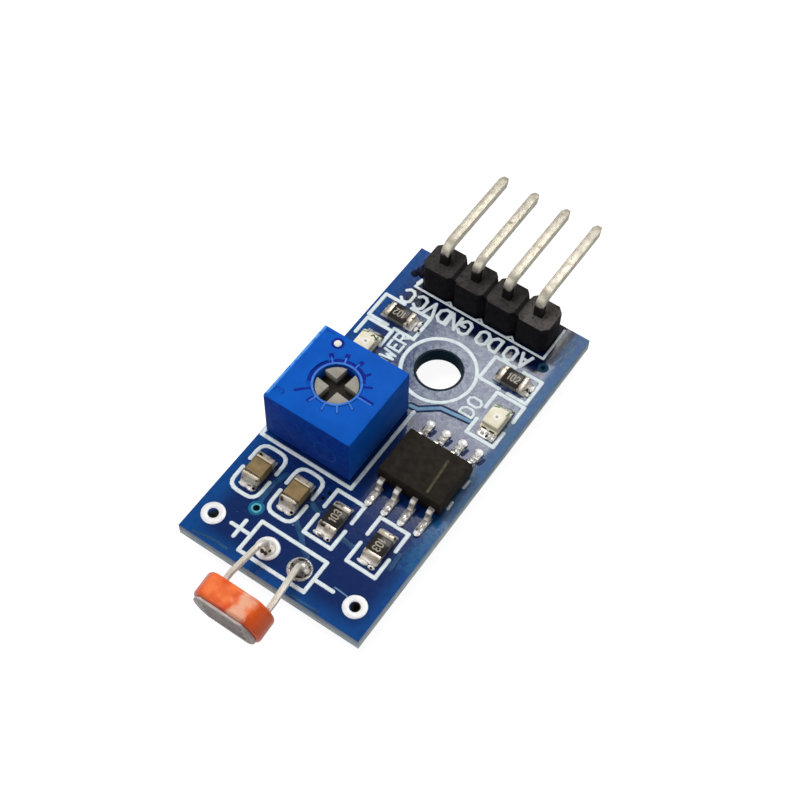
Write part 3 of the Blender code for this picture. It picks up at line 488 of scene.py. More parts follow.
def smoothed(angle):
    """Shade the selected piece smooth, apart from edges sharper than an angle."""
    bpy.ops.object.shade_smooth_by_angle(angle=math.radians(angle))


def finished(thing, material, body=BODY, slot=None):
    """Give a piece its finish and its body; its slot is looked up but not stored."""
    thing.data.materials.clear()
    thing.data.materials.append(material)
    slot = slot or SLOTS.get(material.name)
    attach(thing, body)
    return thing


def soften(made, node, width, material, segments=2, angle=30, **choices):
    """Round the edges of a merged copy, finish it, and let it stand for its node."""
    bevel(made, width, segments, "ANGLE", angle)
    smoothed(40)
    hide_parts(node)
    return finished(made, material, **choices)


def softened(node, name, width, material, **choices):
    """A copy of a CAD node with rounded edges, which then stands for the node."""
    return soften(merged_copy(node, name), node, width, material, **choices)


# %% [markdown]
# The header's housing is four black blocks in a row, moulded in one. A groove parts their
# tops, so the merged copy is cut through at each neck with Bisect and the middle line is
# pushed down. The drawn wire of the pins has soft edges.

# %% Header
GROOVE_HALF = 0.17 * MM
GROOVE_DEPTH = 0.34 * MM
TINY = 0.002 * MM
header_black = toned(
    "header_black", (0.008, 0.007, 0.009), (0.016, 0.014, 0.016), 2.2, 16, 0.45, 0.65, 0.03,
    specular=0.06,
)
pin_tin = metal(
    "pin_tin", (0.74, 0.69, 0.57), (0.52, 0.47, 0.38), (0.3, 0.25, 0.18),
    1.4, 0.3, 0.36, 0.55, 0.015, 0.55,
)

header_low, header_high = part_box("header_housing")
blocks = merged_copy("header_housing", "header_blocks")
necks = [header_low.x + (header_high.x - header_low.x) * share for share in (0.25, 0.5, 0.75)]
bpy.ops.object.mode_set(mode="EDIT")
for neck in necks:
    for aside in (-GROOVE_HALF, 0, GROOVE_HALF):
        bpy.ops.mesh.select_all(action="SELECT")
        bpy.ops.mesh.bisect(plane_co=(neck + aside, 0, 0), plane_no=(1, 0, 0))
bpy.ops.object.mode_set(mode="OBJECT")
for vertex in blocks.data.vertices:
    at_neck = min(abs(vertex.co.x - neck) for neck in necks) < TINY
    if at_neck and vertex.co.z > header_high.z - TINY:
        vertex.co.z -= GROOVE_DEPTH
soften(blocks, "header_housing", 0.06, header_black)
for number in range(1, 5):
    softened(f"header_pin_{number}", f"pin_{number}", 0.08, pin_tin)
print("blocks:", len(blocks.data.polygons), "faces")

# %% [markdown]
# Two finishes change with place here. Dust and scratches lie on the tops of the blocks, most
# on the last block, and the foot of each shiny pin mirrors the black plastic it stands in.
# Both are masks laid over the colour that the finish already has.

# %% Dusty tops and dark pin feet
tree = header_black.node_tree
place = place_in(tree)
scratches = noise(place, 3.0, 6.0, Roughness=0.7, Distortion=1.5)
dust = times(step_over(facing(tree)["Z"], 0.3, 0.8), step_over(scratches, 0.25, 0.6))
laid_over(header_black, dust, (0.05, 0.045, 0.043))
header_end = header_high.x / MM
last_block = step_over(parts(place)["X"], header_end - 2.6, header_end - 1.4)
laid_over(header_black, times(dust, times(last_block, 0.6)), (0.15, 0.135, 0.125))

tree = pin_tin.node_tree
place = place_in(tree)
header_base, header_top = header_low.z / MM, header_high.z / MM
height = parts(place)["Z"]
ragged = math_node("ADD", height, noise(place, 2.4, 3.0))
foot = step_over(ragged, header_top + 1.75, header_top + 1.35)
foot = times(foot, step_over(height, header_base, header_base + 0.1))
laid_over(pin_tin, times(foot, step_over(facing(tree)["Y"], 0.4, 0.0)), (0.022, 0.018, 0.014))
print("finishes that change with place:", header_black.name, pin_tin.name)

# %% [markdown]
# Printing on the board is a raised ridge of white ink with round ends. Each line is drawn
# as a round-bevelled curve, turned into a mesh, given a ball at every corner and end, and
# then pressed nearly flat.

# %% Helper: ink lines
INK_RISE = 0.025


def ink(name, strokes, width, material, rise=INK_RISE, base=0.0, sides=16, plane=None):
    """Pressed lines through points in millimetres on a plane, as one mesh piece."""
    curve = bpy.data.curves.new(name, "CURVE")
    curve.dimensions = "3D"
    curve.bevel_depth = width / 2 * MM
    curve.bevel_resolution = 2
    curve.use_fill_caps = True
    for start, end in (pair for stroke in strokes for pair in zip(stroke, stroke[1:])):
        spline = curve.splines.new("POLY")
        spline.points.add(1)
        for point, (x, y) in zip(spline.points, (start, end)):
            point.co = (x * MM, y * MM, 0, 1)
    lines = bpy.data.objects.new(name, curve)
    bpy.context.scene.collection.objects.link(lines)
    only(lines)
    bpy.ops.object.convert(target="MESH")
    lines = bpy.context.object
    bpy.ops.mesh.primitive_uv_sphere_add(segments=sides, ring_count=6, radius=width / 2 * MM)
    ball = bpy.context.object
    balls = []
    for x, y in sorted({(x, y) for stroke in strokes for x, y in stroke}):
        made = ball.copy()
        made.data = ball.data.copy()
        made.location = (x * MM, y * MM, 0)
        bpy.context.scene.collection.objects.link(made)
        balls.append(made)
    bpy.data.objects.remove(ball)
    only(lines)
    for made in balls:
        made.select_set(True)
    bpy.ops.object.join()
    lines.data.transform(Matrix.Diagonal((1, 1, 2 * rise / width, 1)))
    lines.data.transform(plane or Matrix.Translation(at(0, 0, base)))
    bpy.ops.object.shade_smooth()
    return finished(lines, material)


def rounded(points, radius, steps=4):
    """A path whose inner corners are arcs of this radius."""
    made = [points[0]]
    for before, corner, after in zip(points, points[1:], points[2:]):
        c = Vector(corner)
        a = c + (Vector(before) - c).normalized() * radius
        b = c + (Vector(after) - c).normalized() * radius
        for i in range(steps + 1):
            t = i / steps
            p = a * (1 - t) ** 2 + c * 2 * t * (1 - t) + b * t**2
            made.append((p.x, p.y))
    made.append(points[-1])
    return made


def arc(x, y, radius, first=0, last=360, steps=48):
    """Points on an arc between two angles, or all the way round."""
    turns = [math.radians(first + (last - first) * i / steps) for i in range(steps + 1)]
    return [(x + radius * math.cos(t), y + radius * math.sin(t)) for t in turns]


# %% [markdown]
# The outlines round the parts mark where each one goes. The chip outlines are open at
# their sides, and those of the two capacitors have round corners.

# %% Part outlines in white ink
SENSOR_MARKS = [
    [(4.2, 0.78), (4.2, 3.25), (9.3, 3.25), (9.3, 0.78), (4.2, 0.78)],
    [(2.67, 2.05), (3.99, 2.05)],
    [(3.33, 1.39), (3.33, 2.71)],
    [(9.5, 1.85), (10.76, 1.85)],
]
LIGHT_MARKS = [
    [(0.4, 18.8), (0.4, 20.25), (2.45, 20.25), (2.45, 18.8)],
    [(0.4, 17.6), (0.4, 16.4), (2.45, 16.4), (2.45, 17.6)],
    [(11.11, 18.79), (11.11, 20.2), (13.25, 20.2), (13.25, 18.8)],
    [(11.11, 17.67), (11.11, 16.4), (13.2, 16.4), (13.2, 17.7)],
]
TRIMMER_MARKS = [[(0.17, 15.65), (0.17, 8.46), (7.4, 8.46), (7.4, 15.65)]]
COMPARATOR_MARKS = [[(13.3, 12.72), (13.32, 13.34)], [(13.32, 10.83), (13.3, 11.4)]]


def open_box(left, right, near, far, gap_near, gap_far):
    """Two facing brackets, open on the sides that run along the board."""
    return [
        [(left, gap_near), (left, near), (right, near), (right, gap_near)],
        [(left, gap_far), (left, far), (right, far), (right, gap_far)],
    ]


def crossways_box(left, right, near, far, gap_left, gap_right):
    """Two facing brackets, open on the sides that run across the board."""
    return [
        [(gap_left, near), (left, near), (left, far), (gap_left, far)],
        [(gap_right, near), (right, near), (right, far), (gap_right, far)],
    ]


chip_marks = open_box(0.71, 2.84, 4.16, 7.98, 5.77, 6.53)
chip_marks += open_box(3.76, 5.84, 4.09, 7.97, 5.75, 6.42)
chip_marks = [rounded(bracket, 0.75) for bracket in chip_marks]
chip_marks += open_box(6.78, 8.92, 4.18, 7.9, 5.69, 6.43)
chip_marks += open_box(10.18, 12.35, 4.1, 7.85, 5.62, 6.39)
chip_marks += crossways_box(0.3, 4.04, 20.53, 22.65, 1.85, 2.46)
chip_marks += crossways_box(9.46, 13.17, 20.52, 22.6, 11.04, 11.72)
ink("print_sensor", SENSOR_MARKS, 0.3, ink_white)
ink("print_chips", chip_marks, 0.3, ink_white)
ink("print_lights", LIGHT_MARKS, 0.3, ink_white)
ink("print_trimmer", TRIMMER_MARKS, 0.3, ink_white)
ink("print_comparator", COMPARATOR_MARKS, 0.22, ink_white)
ink("print_hole", [arc(6.88, 19.42, 2.61)], 0.31, ink_white)
print("brackets round the chips:", len(chip_marks))

# %% [markdown]
# A thin line runs round the header, with a small tooth between each pair of blocks.

# %% Header line
PITCH = 2.54
HEADER_MARKS = [
    [(1.56, 24.39), (12.18, 24.33), (12.16, 27.2)],
    [(1.56, 24.39), (1.68, 24.75), (1.72, 25.1)],
]
middles = [4.36 + PITCH * i for i in range(3)]
header_teeth = [[(x - 0.28, 24.4), (x, 24.66), (x + 0.28, 24.4)] for x in middles]
ink("print_header", HEADER_MARKS, 0.2, ink_white)
ink("print_header_teeth", header_teeth, 0.16, ink_white)
ink("print_header_end", [[(1.6, 24.75), (1.68, 25.1)]], 0.34, ink_white)
print("teeth at:", [round(x, 2) for x in middles])

# %% [markdown]
# The legends name the pins and lights. A board's lettering is drawn by a pen of one width,
# so each letter here is a few strokes on a grid one unit high, and not a font.

# %% Letters of one pen width
BOWL = [(0, 0), (0, 1), (0.45, 1), (0.62, 0.86), (0.62, 0.62), (0.45, 0.48), (0, 0.48)]
HOOK = [(0.64, 0.82), (0.46, 1), (0.2, 1), (0, 0.8), (0, 0.2), (0.2, 0), (0.46, 0)]
LETTERS = {
    "P": [BOWL],
    "O": [[
        (0.2, 0), (0, 0.2), (0, 0.8), (0.2, 1), (0.46, 1),
        (0.66, 0.8), (0.66, 0.2), (0.46, 0), (0.2, 0),
    ]],
    "W": [[(0, 1), (0.16, 0), (0.33, 0.62), (0.5, 0), (0.66, 1)]],
    "E": [[(0.6, 0), (0, 0), (0, 1), (0.6, 1)], [(0, 0.52), (0.42, 0.52)]],
    "R": [BOWL, [(0.3, 0.48), (0.62, 0)]],
    "D": [[(0, 0), (0, 1), (0.36, 1), (0.62, 0.74), (0.62, 0.26), (0.36, 0), (0, 0)]],
    "V": [[(0, 1), (0.33, 0), (0.66, 1)]],
    "C": [HOOK + [(0.64, 0.18)]],
    "G": [HOOK + [(0.64, 0.2), (0.64, 0.46), (0.38, 0.46)]],
    "N": [[(0, 0), (0, 1), (0.62, 0), (0.62, 1)]],
    "A": [[(0, 0), (0.33, 1), (0.66, 0)], [(0.14, 0.36), (0.52, 0.36)]],
    "0": [[
        (0.14, 0), (0, 0.16), (0, 0.84), (0.14, 1), (0.4, 1),
        (0.54, 0.84), (0.54, 0.16), (0.4, 0), (0.14, 0),
    ]],
    "1": [[(0.08, 0.78), (0.28, 1), (0.28, 0)]],
    "2": [[(0, 0.84), (0.14, 1), (0.4, 1), (0.54, 0.84), (0.54, 0.62), (0, 0.0), (0.56, 0)]],
    "3": [
        [
            (0, 0.86), (0.14, 1), (0.4, 1), (0.54, 0.86), (0.54, 0.64), (0.4, 0.52),
            (0.54, 0.4), (0.54, 0.14), (0.4, 0), (0.14, 0), (0, 0.14),
        ],
        [(0.2, 0.52), (0.4, 0.52)],
    ],
}
ALONG = ((0, 1), (-1, 0))
BACKWARDS = ((-1, 0), (0, -1))


def lettered(letter, x, y, height, heading, up, squeeze=1.0):
    """The strokes of one letter, centred at x and y, reading along heading."""
    width = max(px for stroke in LETTERS[letter] for px, _ in stroke)

    def placed(px, py):
        along = (px - width / 2) * height * squeeze
        rise = (py - 0.5) * height
        return (x + heading[0] * along + up[0] * rise, y + heading[1] * along + up[1] * rise)

    return [[placed(*point) for point in stroke] for stroke in LETTERS[letter]]


LIGHT_NAMES = (
    ("POWER", 3.35, (16.77, 17.63, 18.49, 19.37, 20.16)),
    ("DO", 10.32, (17.76, 18.65)),
)
PIN_NAMES = (
    ("VCC", (3.66, 2.69, 1.65)), ("GND", (6.41, 5.47, 4.61)),
    ("DO", (8.85, 7.89)), ("AO", (11.21, 10.13)),
)
PIN_NAMES_Y = 23.4
SMALL = 0.95
LARGE = 1.12
small_letters = []
large_letters = []
for word, x, places in LIGHT_NAMES:
    for letter, y in zip(word, places):
        small_letters += lettered(letter, x, y, SMALL, *ALONG)
for word, places in PIN_NAMES:
    for letter, x in zip(word, places):
        large_letters += lettered(letter, x, PIN_NAMES_Y, LARGE, *BACKWARDS)
ink("print_light_names", small_letters, 0.2, ink_white)
ink("print_pin_names", large_letters, 0.26, ink_white)
print("strokes in letters:", len(small_letters) + len(large_letters))

# %% [markdown]
# Solder beads and pads come from one kind of piece: a ball pressed to a low dome, or a
# pressed ring. The surface is moved a little by seeded random steps, so that no two beads
# look turned on a lathe.

# %% Helpers: low domes and rings
rng = random.Random(11)


def transform_applied(**parts_of_it):
    """Put the active piece's place, turn or scale in its mesh."""
    choices = {"location": False, "rotation": False, "scale": False, **parts_of_it}
    bpy.ops.object.transform_apply(**choices)


def roughened(thing, amount):
    """Move each point of a mesh a little, the same way each run."""
    for vertex in thing.data.vertices:
        step = Vector((rng.uniform(-1, 1), rng.uniform(-1, 1), rng.uniform(-0.5, 0.5)))
        vertex.co += step * amount * MM


def settle(thing, material):
    """Put the place of a smooth piece in its mesh, and finish it."""
    bpy.ops.object.shade_smooth()
    transform_applied(location=True)
    return finished(thing, material)


def ring(name, place, outer, inner, height, material, rough=0.0):
    """A flat-topped ring with rounded shoulders: a pad round a hole."""
    bpy.ops.mesh.primitive_torus_add(
        location=place,
        major_radius=(outer + inner) / 2 * MM,
        minor_radius=(outer - inner) / 2 * MM,
        major_segments=48,
        minor_segments=14,
    )
    made = bpy.context.object
    made.name = name
    made.scale.z = 2 * height / (outer - inner)
    transform_applied(scale=True)
    if rough:
        roughened(made, rough)
    return settle(made, material)


def dome(name, place, radius_x, radius_y, height, material, rough=0.0):
    """A low bead of solder."""
    bpy.ops.mesh.primitive_ico_sphere_add(subdivisions=3, radius=1.0, location=place)
    made = bpy.context.object
    made.name = name
    made.scale = (radius_x * MM, radius_y * MM, height * MM)
    transform_applied(scale=True)
    roughened(made, rough)
    made.modifiers.new("round", "SUBSURF").levels = 1
    bpy.ops.object.modifier_apply(modifier="round")
    return settle(made, material)


def dots(name, places, z, height, material, rough=0.0, first=1):
    """Round beads at places given as x, y and radius."""
    for number, (x, y, size) in enumerate(places, start=first):
        dome(f"{name}_{number}", at(x, y, z), size, size, height, material, rough)


def bore(name, x, y, radius, material, thickness=0.03):
    """The wall of a hole through the board, open at both ends."""
    bpy.ops.mesh.primitive_cylinder_add(
        vertices=48, radius=radius * MM, depth=-UNDERSIDE * MM,
        end_fill_type="NOTHING", location=at(x, y, UNDERSIDE / 2),
    )
    made = bpy.context.object
    made.name = name
    wall = made.modifiers.new("wall", "SOLIDIFY")
    wall.thickness = thickness * MM
    wall.offset = 1
    bpy.ops.object.modifier_apply(modifier=wall.name)
    smoothed(40)
    transform_applied(location=True)
    return finished(made, material)


# %% [markdown]
# The two test pads near the sensor are bare tinned rings. Their holes get a near-black wall
# and a dark plug low inside, as painted shade. The sensor's wires stand in round pads full of
# bright solder with dark flux in the middle.

# %% Test pads and sensor joints
TEST_PADS = ((1.27, 1.94), (12.48, 1.79))
TEST_PAD = (0.82, 0.36, 0.04)
SENSOR_PADS = ((5.63, 1.9), (8.17, 1.9))
FLUX_LUMPS = (
    (5.55, 1.52, 0.17), (5.8, 1.48, 0.13), (5.88, 1.8, 0.15), (5.74, 2.14, 0.12), (5.6, 1.8, 0.13),
)
bore_shade = toned(
    "bore_shade", (0.03, 0.024, 0.022), (0.05, 0.042, 0.038), 2.0, 14, 0.6, 0.8, specular=0.04
)
flux_brown = toned("flux_brown", (0.1, 0.07, 0.05), (0.03, 0.022, 0.016), 4.0, 14, 0.2, 0.4, 0.03)
wire_tin = metal(
    "wire_tin", (0.9, 0.86, 0.76), (0.78, 0.73, 0.62), (0.36, 0.3, 0.22),
    1.6, 0.28, 0.34, 0.5, 0.015, 0.35,
)
for number, (x, y) in enumerate(TEST_PADS, start=1):
    ring(f"test_pad_{number}", at(x, y), *TEST_PAD, pad_tin)
    ring(f"test_pad_under_{number}", at(x, y, UNDERSIDE), *TEST_PAD, pad_tin)
    # The near-black wall and the dark plug are painted shade inside the hole.
    bore(f"test_bore_{number}", x, y, 0.3, bore_shade, 0.08)
    dome(f"test_shade_plug_{number}", at(x, y, -0.9), 0.31, 0.31, 0.08, bore_shade, 0.01)
for number, ((x, y), rim) in enumerate(zip(SENSOR_PADS, (pad_tin, solder_bright)), start=1):
    ring(f"sensor_pad_{number}", at(x, y), 0.85, 0.45, 0.1, rim, 0.012)
dome("sensor_bead_1", at(5.63, 1.85, 0.02), 0.6, 0.58, 0.24, solder_white, 0.035)
dots("sensor_flux", FLUX_LUMPS, 0.2, 0.12, flux_brown, 0.02)
dome("sensor_bead_2", at(8.2, 1.95, 0.02), 0.72, 0.7, 0.42, solder_dull, 0.03)
for number in (1, 2):
    softened(f"sensor_lead_{number}", f"sensor_wire_{number}", 0.02, wire_tin, angle=50)
print("pads:", len(TEST_PADS) + len(SENSOR_PADS))

# %% [markdown]
# Vias are tiny plated holes under the mask. One near the sensor shows as a teal ring. The
# mounting hole has a dark edge and a dark teal wall.

# %% Vias and the mounting hole
VIAS = ((3.3, 3.81, 1.0), (12.58, 23.69, 0.72))
SMALL_VIAS = ((6.49, 7.41, 0.13), (6.34, 6.85, 0.13))
via_teal = toned("via_teal", (0.008, 0.1, 0.2), (0.012, 0.14, 0.26), 4.0, 12, 0.25, 0.4)
via_navy = toned(
    "via_navy", (0.004, 0.035, 0.07), (0.006, 0.05, 0.09), 4.0, 12, 0.3, 0.5, specular=0.08
)
via_light = toned("via_light", (0.06, 0.36, 0.46), (0.14, 0.5, 0.6), 4.0, 12, 0.25, 0.4)
via_dark = toned(
    "via_dark", (0.001, 0.002, 0.004), (0.002, 0.004, 0.007), 4.0, 12, 0.4, 0.6, specular=0.03
)
hole_rim = toned(
    "hole_rim", (0.002, 0.009, 0.016), (0.004, 0.016, 0.028), 3.0, 14, 0.3, 0.5, specular=0.1
)
wall_teal = toned(
    "wall_teal", (0.006, 0.026, 0.045), (0.009, 0.036, 0.058), 1.5, 14, 0.5, 0.7, specular=0.03
)
for number, (x, y, size) in enumerate(VIAS, start=1):
    outer, lip = (via_teal, via_light) if number == 1 else (via_navy, via_navy)
    ring(f"via_ring_{number}", at(x, y), 0.54 * size, 0.34 * size, 0.03, outer)
    ring(f"via_lip_{number}", at(x, y), 0.36 * size, 0.22 * size, 0.045, lip)
    dome(f"via_centre_{number}", at(x, y), 0.25 * size, 0.25 * size, 0.02, via_dark)
dots("via_centre", SMALL_VIAS, 0.0, 0.02, via_dark, first=3)
ring("hole_edge", at(6.9, 19.42, 0.04), 1.74, 1.56, 0.014, hole_rim)
bore("hole_wall", *HOLE_MIDDLE, 1.58, wall_teal)
print("vias:", len(VIAS) + len(SMALL_VIAS))

# %% [markdown]
# Under the mask, thin gaps part the copper from its tracks. They show as clearer teal
# lines, so each is a wide line hardly raised, with the track lying in it. Burnt flux lies
# beside the header.

# %% Copper gaps
THIN_FILM = (1.4, 8, 0.25, 0.4)
gap_light = toned("gap_light", (0.18, 0.32, 0.47), (0.12, 0.24, 0.38), *THIN_FILM)
gap_dark = toned("gap_dark", (0.004, 0.014, 0.06), (0.006, 0.02, 0.08), *THIN_FILM)
gap_clear = toned(
    "gap_clear", (0.01, 0.075, 0.19), (0.006, 0.04, 0.12), 1.4, 8, 0.22, 0.36, specular=0.25
)
flux_black = toned("flux_black", (0.006, 0.006, 0.012), (0.02, 0.02, 0.04), 3.0, 12, 0.2, 0.5, 0.03)
BOUNDARY = [(6.93, 15.95), (7.48, 16.0), (8.7, 16.96), (10.89, 17.22)]
PATCHES = [
    [(6.05, 6.15), (6.3, 6.0), (6.72, 5.86)],
    [(3.3, 3.9), (3.18, 4.5), (3.13, 5.3), (3.12, 6.0), (3.4, 6.9)],
    [(5.95, 4.5), (6.45, 4.12), (6.95, 3.74), (7.46, 3.2), (8.02, 2.82)],
    [(8.95, 5.2), (9.95, 5.08)],
    [(12.75, 5.2), (12.7, 6.3)],
]
NEAR_EDGE = [[(1.0, 0.2), (2.4, 0.45), (3.5, 0.42)], [(8.71, 0.15), (10.81, 0.18)]]
SPECKS = [[(6.3, 6.87), (6.34, 6.9)], [(5.92, 4.17), (5.97, 4.2)]]
HEADER_FLUX = (
    (0.9, 25.3, 0.27), (1.1, 25.7, 0.3), (1.2, 26.2, 0.28), (1.42, 26.5, 0.25), (1.38, 25.5, 0.25),
)
ink("copper_gap_border", [BOUNDARY], 0.56, gap_dark, rise=0.008)
ink("copper_gap", [BOUNDARY], 0.32, gap_light, rise=0.014)
ink("copper_patches", PATCHES, 0.42, gap_clear, rise=0.008)
ink("copper_track", [[(10.7, 2.16), (11.66, 2.1)]], 0.1, gap_light, rise=0.01)
ink("copper_edge", NEAR_EDGE, 0.22, gap_clear, rise=0.006)
dots("header_flux", HEADER_FLUX, 0.0, 0.3, flux_black, 0.03)
ink("copper_specks", SPECKS, 0.1, gap_light, rise=0.012)
print("copper patches:", len(PATCHES))

# %% [markdown]
# Chip parts: a resistor is a white ceramic chip with a black glassed top and tinned ends.
# A height step in the material parts the black top from the ceramic, so the solid stays.
# An end's plating is worn above, and bright solder with flux spots climbs it from below.

# %% Chip resistors and capacitors
BOARD_TOP = TOP / MM
CHIP_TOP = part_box("resistor_1_body")[1].z / MM
GLASS_DEPTH = 0.09
END_SKIN = (2.6, METAL_GRAIN, 0.25, 0.5)
cap_tan = toned("cap_tan", (0.3, 0.215, 0.1), (0.22, 0.155, 0.07), 1.6, 30, 0.35, 0.55, 0.006)
resistor_skin = toned(
    "resistor_skin", (0.2, 0.18, 0.15), (0.16, 0.144, 0.12), 4.0, 22, 0.25, 0.5, 0.008,
    strength=0.4, coat=0.3,
)
height = parts(place_in(resistor_skin.node_tree))["Z"]
glass = CHIP_TOP - GLASS_DEPTH
laid_over(resistor_skin, step_over(height, glass - 0.01, glass + 0.01), (0.022, 0.019, 0.017))


def end_metal(name, level):
    """Worn plating above a height, bright solder with flux spots below it."""
    made, tree, shader = new_finish(name, metallic=0.65, specular=0.5)
    height = parts(place_in(tree))["Z"]
    solder = use(tree, tone, (0.97, 0.95, 0.9), (0.74, 0.69, 0.62), *END_SKIN)
    plating = use(tree, tone, (0.74, 0.67, 0.56), (0.5, 0.43, 0.34), *END_SKIN)
    upper = step_over(height, level - 0.04, level + 0.04)
    rims = over(upper, solder["Colour"], plating["Colour"])
    flux = use(tree, spots, rims, (0.03, 0.022, 0.015), 1.8, 0.4)
    foot = step_over(height, level - 0.2, level - 0.27)
    colour = over(foot, flux["Colour"], (0.02, 0.016, 0.012))
    dress(shader, colour, plating["Roughness"], flux["Height"], 0.5, 0.04)
    return made


resistor_tin = end_metal("resistor_tin", BOARD_TOP + 0.28)
capacitor_tin = end_metal("capacitor_tin", BOARD_TOP + 0.3)
for kind, count, body, width, tin in (
    ("resistor", 4, resistor_skin, 0.03, resistor_tin),
    ("capacitor", 2, cap_tan, 0.04, capacitor_tin),
):
    for part in (f"{kind}_{number}" for number in range(1, count + 1)):
        softened(f"{part}_body", f"{part}_chip", width, body)
        for end in "ab":
            softened(f"{part}_cap_{end}", f"{part}_end_{end}", 0.045, tin)
print("chip top over the board:", round(CHIP_TOP - BOARD_TOP, 2), "mm")

# %% [markdown]
# A chip light has a cloudy cover over a pale body. Its chip shows as a small spot with a
# bright ring, and green and gold marks at its ends say which way round it goes. The joint
# at its near end is a few bright lumps of solder.

# %% Chip lights
FINE = (4.0, 20, 0.2, 0.4, 0.004)
light_ivory = toned(
    "light_ivory", (0.86, 0.81, 0.66), (0.74, 0.68, 0.5), 1.8, 22, 0.25, 0.45, 0.006
)
spot_white = toned("spot_white", (0.92, 0.87, 0.84), (0.85, 0.8, 0.74), *FINE)
spot_grey = toned("spot_grey", (0.3, 0.26, 0.2), (0.38, 0.33, 0.26), *FINE)
mark_green = toned("mark_green", (0.06, 0.26, 0.12), (0.16, 0.4, 0.22), *FINE)
mark_gold = toned(
    "mark_gold", (0.035, 0.025, 0.008), (0.08, 0.06, 0.025), 4.0, 20, 0.3, 0.5, 0.004
)
LIGHT_BEADS = (
    (0.08, 0.06, 0.16), (0.3, 0.22, 0.15), (0.55, 0.1, 0.17),
    (0.72, 0.3, 0.14), (0.93, 0.3, 0.17), (0.97, 0.08, 0.12),
)
for part in ("power_light", "output_light"):
    for end in "ab":
        softened(f"{part}_cap_{end}", f"{part}_end_{end}", 0.03, solder_bright)
    softened(f"{part}_base", f"{part}_body", 0.03, light_ivory, slot="light_base")
    softened(f"{part}_lens", f"{part}_cover", 0.03, light_ivory, slot="light_lens")
    left, right, near, far, level = extent(f"{part}_lens")
    _, _, base_near, base_far, base_level = extent(f"{part}_base")
    middle = (left + right) / 2
    spot = (middle + 0.07, near + 0.48 * (far - near))
    dome(f"{part}_halo", at(*spot, level), 0.27, 0.27, 0.012, spot_white)
    dome(f"{part}_spot", at(*spot, level + 0.008), 0.1, 0.1, 0.012, spot_grey)
    green = [
        [(left + 0.1, far - 0.2), (left + 0.45, far - 0.1)],
        [(right - 0.05, far - 0.1), (right - 0.1, far - 0.42)],
    ]
    notches = [
        [(middle - 0.14, base_far - 0.04), (middle + 0.12, base_far - 0.06)],
        [(left + 0.2, base_near + 0.03), (left + 0.46, base_near + 0.02)],
        [(right - 0.48, base_near + 0.02), (right - 0.2, base_near + 0.03)],
    ]
    ink(f"{part}_green", green, 0.1, mark_green, 0.008, level, 8)
    ink(f"{part}_notches", notches, 0.13, mark_gold, 0.014, base_level, 8)
    for number, (across, out, size) in enumerate(LIGHT_BEADS, start=1):
        place = at(left + across * (right - left), base_near - out, 0.2 - 0.4 * out)
        dome(f"{part}_bead_{number}", place, size, size * 1.2, 0.15, solder_bright, 0.03)
    pit = at(middle + 0.12, base_near - 0.32, 0.16)
    dome(f"{part}_pit", pit, 0.1, 0.12, 0.06, via_dark)
POWER_MARK = [[(1.84, 18.63), (1.93, 18.77), (2.3, 18.56)]]
ink("power_light_mark", POWER_MARK, 0.1, mark_gold, 0.01, level, 8)
print("cover top over the board:", round(level, 2), "mm")

# %% [markdown]
# Where a chip's end meets its pad, solder climbs it in a small bright slope. These slopes
# are low beads along the ends, with a dark pit or two where flux boiled out.

# %% Slopes at the chip ends
CHIP_SLOPES = (
    (7.62, 4.6, 0.42, 0.16), (8.3, 4.58, 0.26, 0.14),
    (11.06, 4.56, 0.42, 0.16), (11.75, 4.54, 0.26, 0.14),
    (1.55, 4.7, 0.36, 0.17), (2.1, 4.68, 0.3, 0.15),
    (4.6, 4.68, 0.36, 0.17), (5.15, 4.66, 0.3, 0.15),
    (3.72, 21.83, 0.16, 0.3), (3.74, 21.28, 0.15, 0.24),
    (12.92, 21.78, 0.14, 0.3), (12.9, 21.23, 0.14, 0.24),
)
CHIP_PITS = (
    (8.42, 4.5, 0.09), (11.79, 4.46, 0.09),
    (4.0, 21.2, 0.1), (3.86, 21.9, 0.07), (12.95, 21.3, 0.09),
)
for number, (x, y, along, deep) in enumerate(CHIP_SLOPES, start=1):
    dome(f"chip_slope_{number}", at(x, y, 0.05), along, deep, 0.15, solder_white, 0.012)
dots("chip_pit", CHIP_PITS, 0.2, 0.06, via_dark)
print("slopes:", len(CHIP_SLOPES))

# %% [markdown]
# Under the board every wire and terminal ends in a cone of solder on a round pad, and a few
# tracks run between them.

# %% Joints and tracks underneath
UNDER_TRACKS = [
    [(3.09, 25.8), (3.09, 22.6), (1.5, 20.6), (1.5, 6.0), (3.3, 3.81)],
    [(8.17, 25.8), (8.17, 23.7), (9.8, 22.0), (9.8, 16.5), (8.9, 15.3)],
    [(10.71, 25.8), (12.58, 23.69), (12.58, 9.0), (10.4, 6.6), (8.17, 4.4), (8.17, 1.9)],
]
joints = [(3.09 + PITCH * i, 25.8) for i in range(4)] + list(SENSOR_PADS)
for number in (1, 2, 3):
    left, right, near, far, _ = extent(f"trimmer_terminal_{number}")
    joints.append(((left + right) / 2, (near + far) / 2))
for number, (x, y) in enumerate(joints, start=1):
    ring(f"joint_pad_{number}", at(x, y, UNDERSIDE), 0.86, 0.4, 0.05, pad_tin)
    dome(f"joint_{number}", at(x, y, UNDERSIDE), 0.68, 0.66, 0.5, solder_bright, 0.03)
ink("under_tracks", UNDER_TRACKS, 0.45, gap_clear, 0.01, UNDERSIDE)
for number, (x, y, size) in enumerate(VIAS, start=1):
    ring(f"under_via_{number}", at(x, y, UNDERSIDE), 0.54 * size, 0.2 * size, 0.04, via_teal)
print("joints under the board:", len(joints))

# %% [markdown]
# The two capacitors are plain tan blocks. Where the metal of their ends stops, a thin pale
# line and a darker one run across.

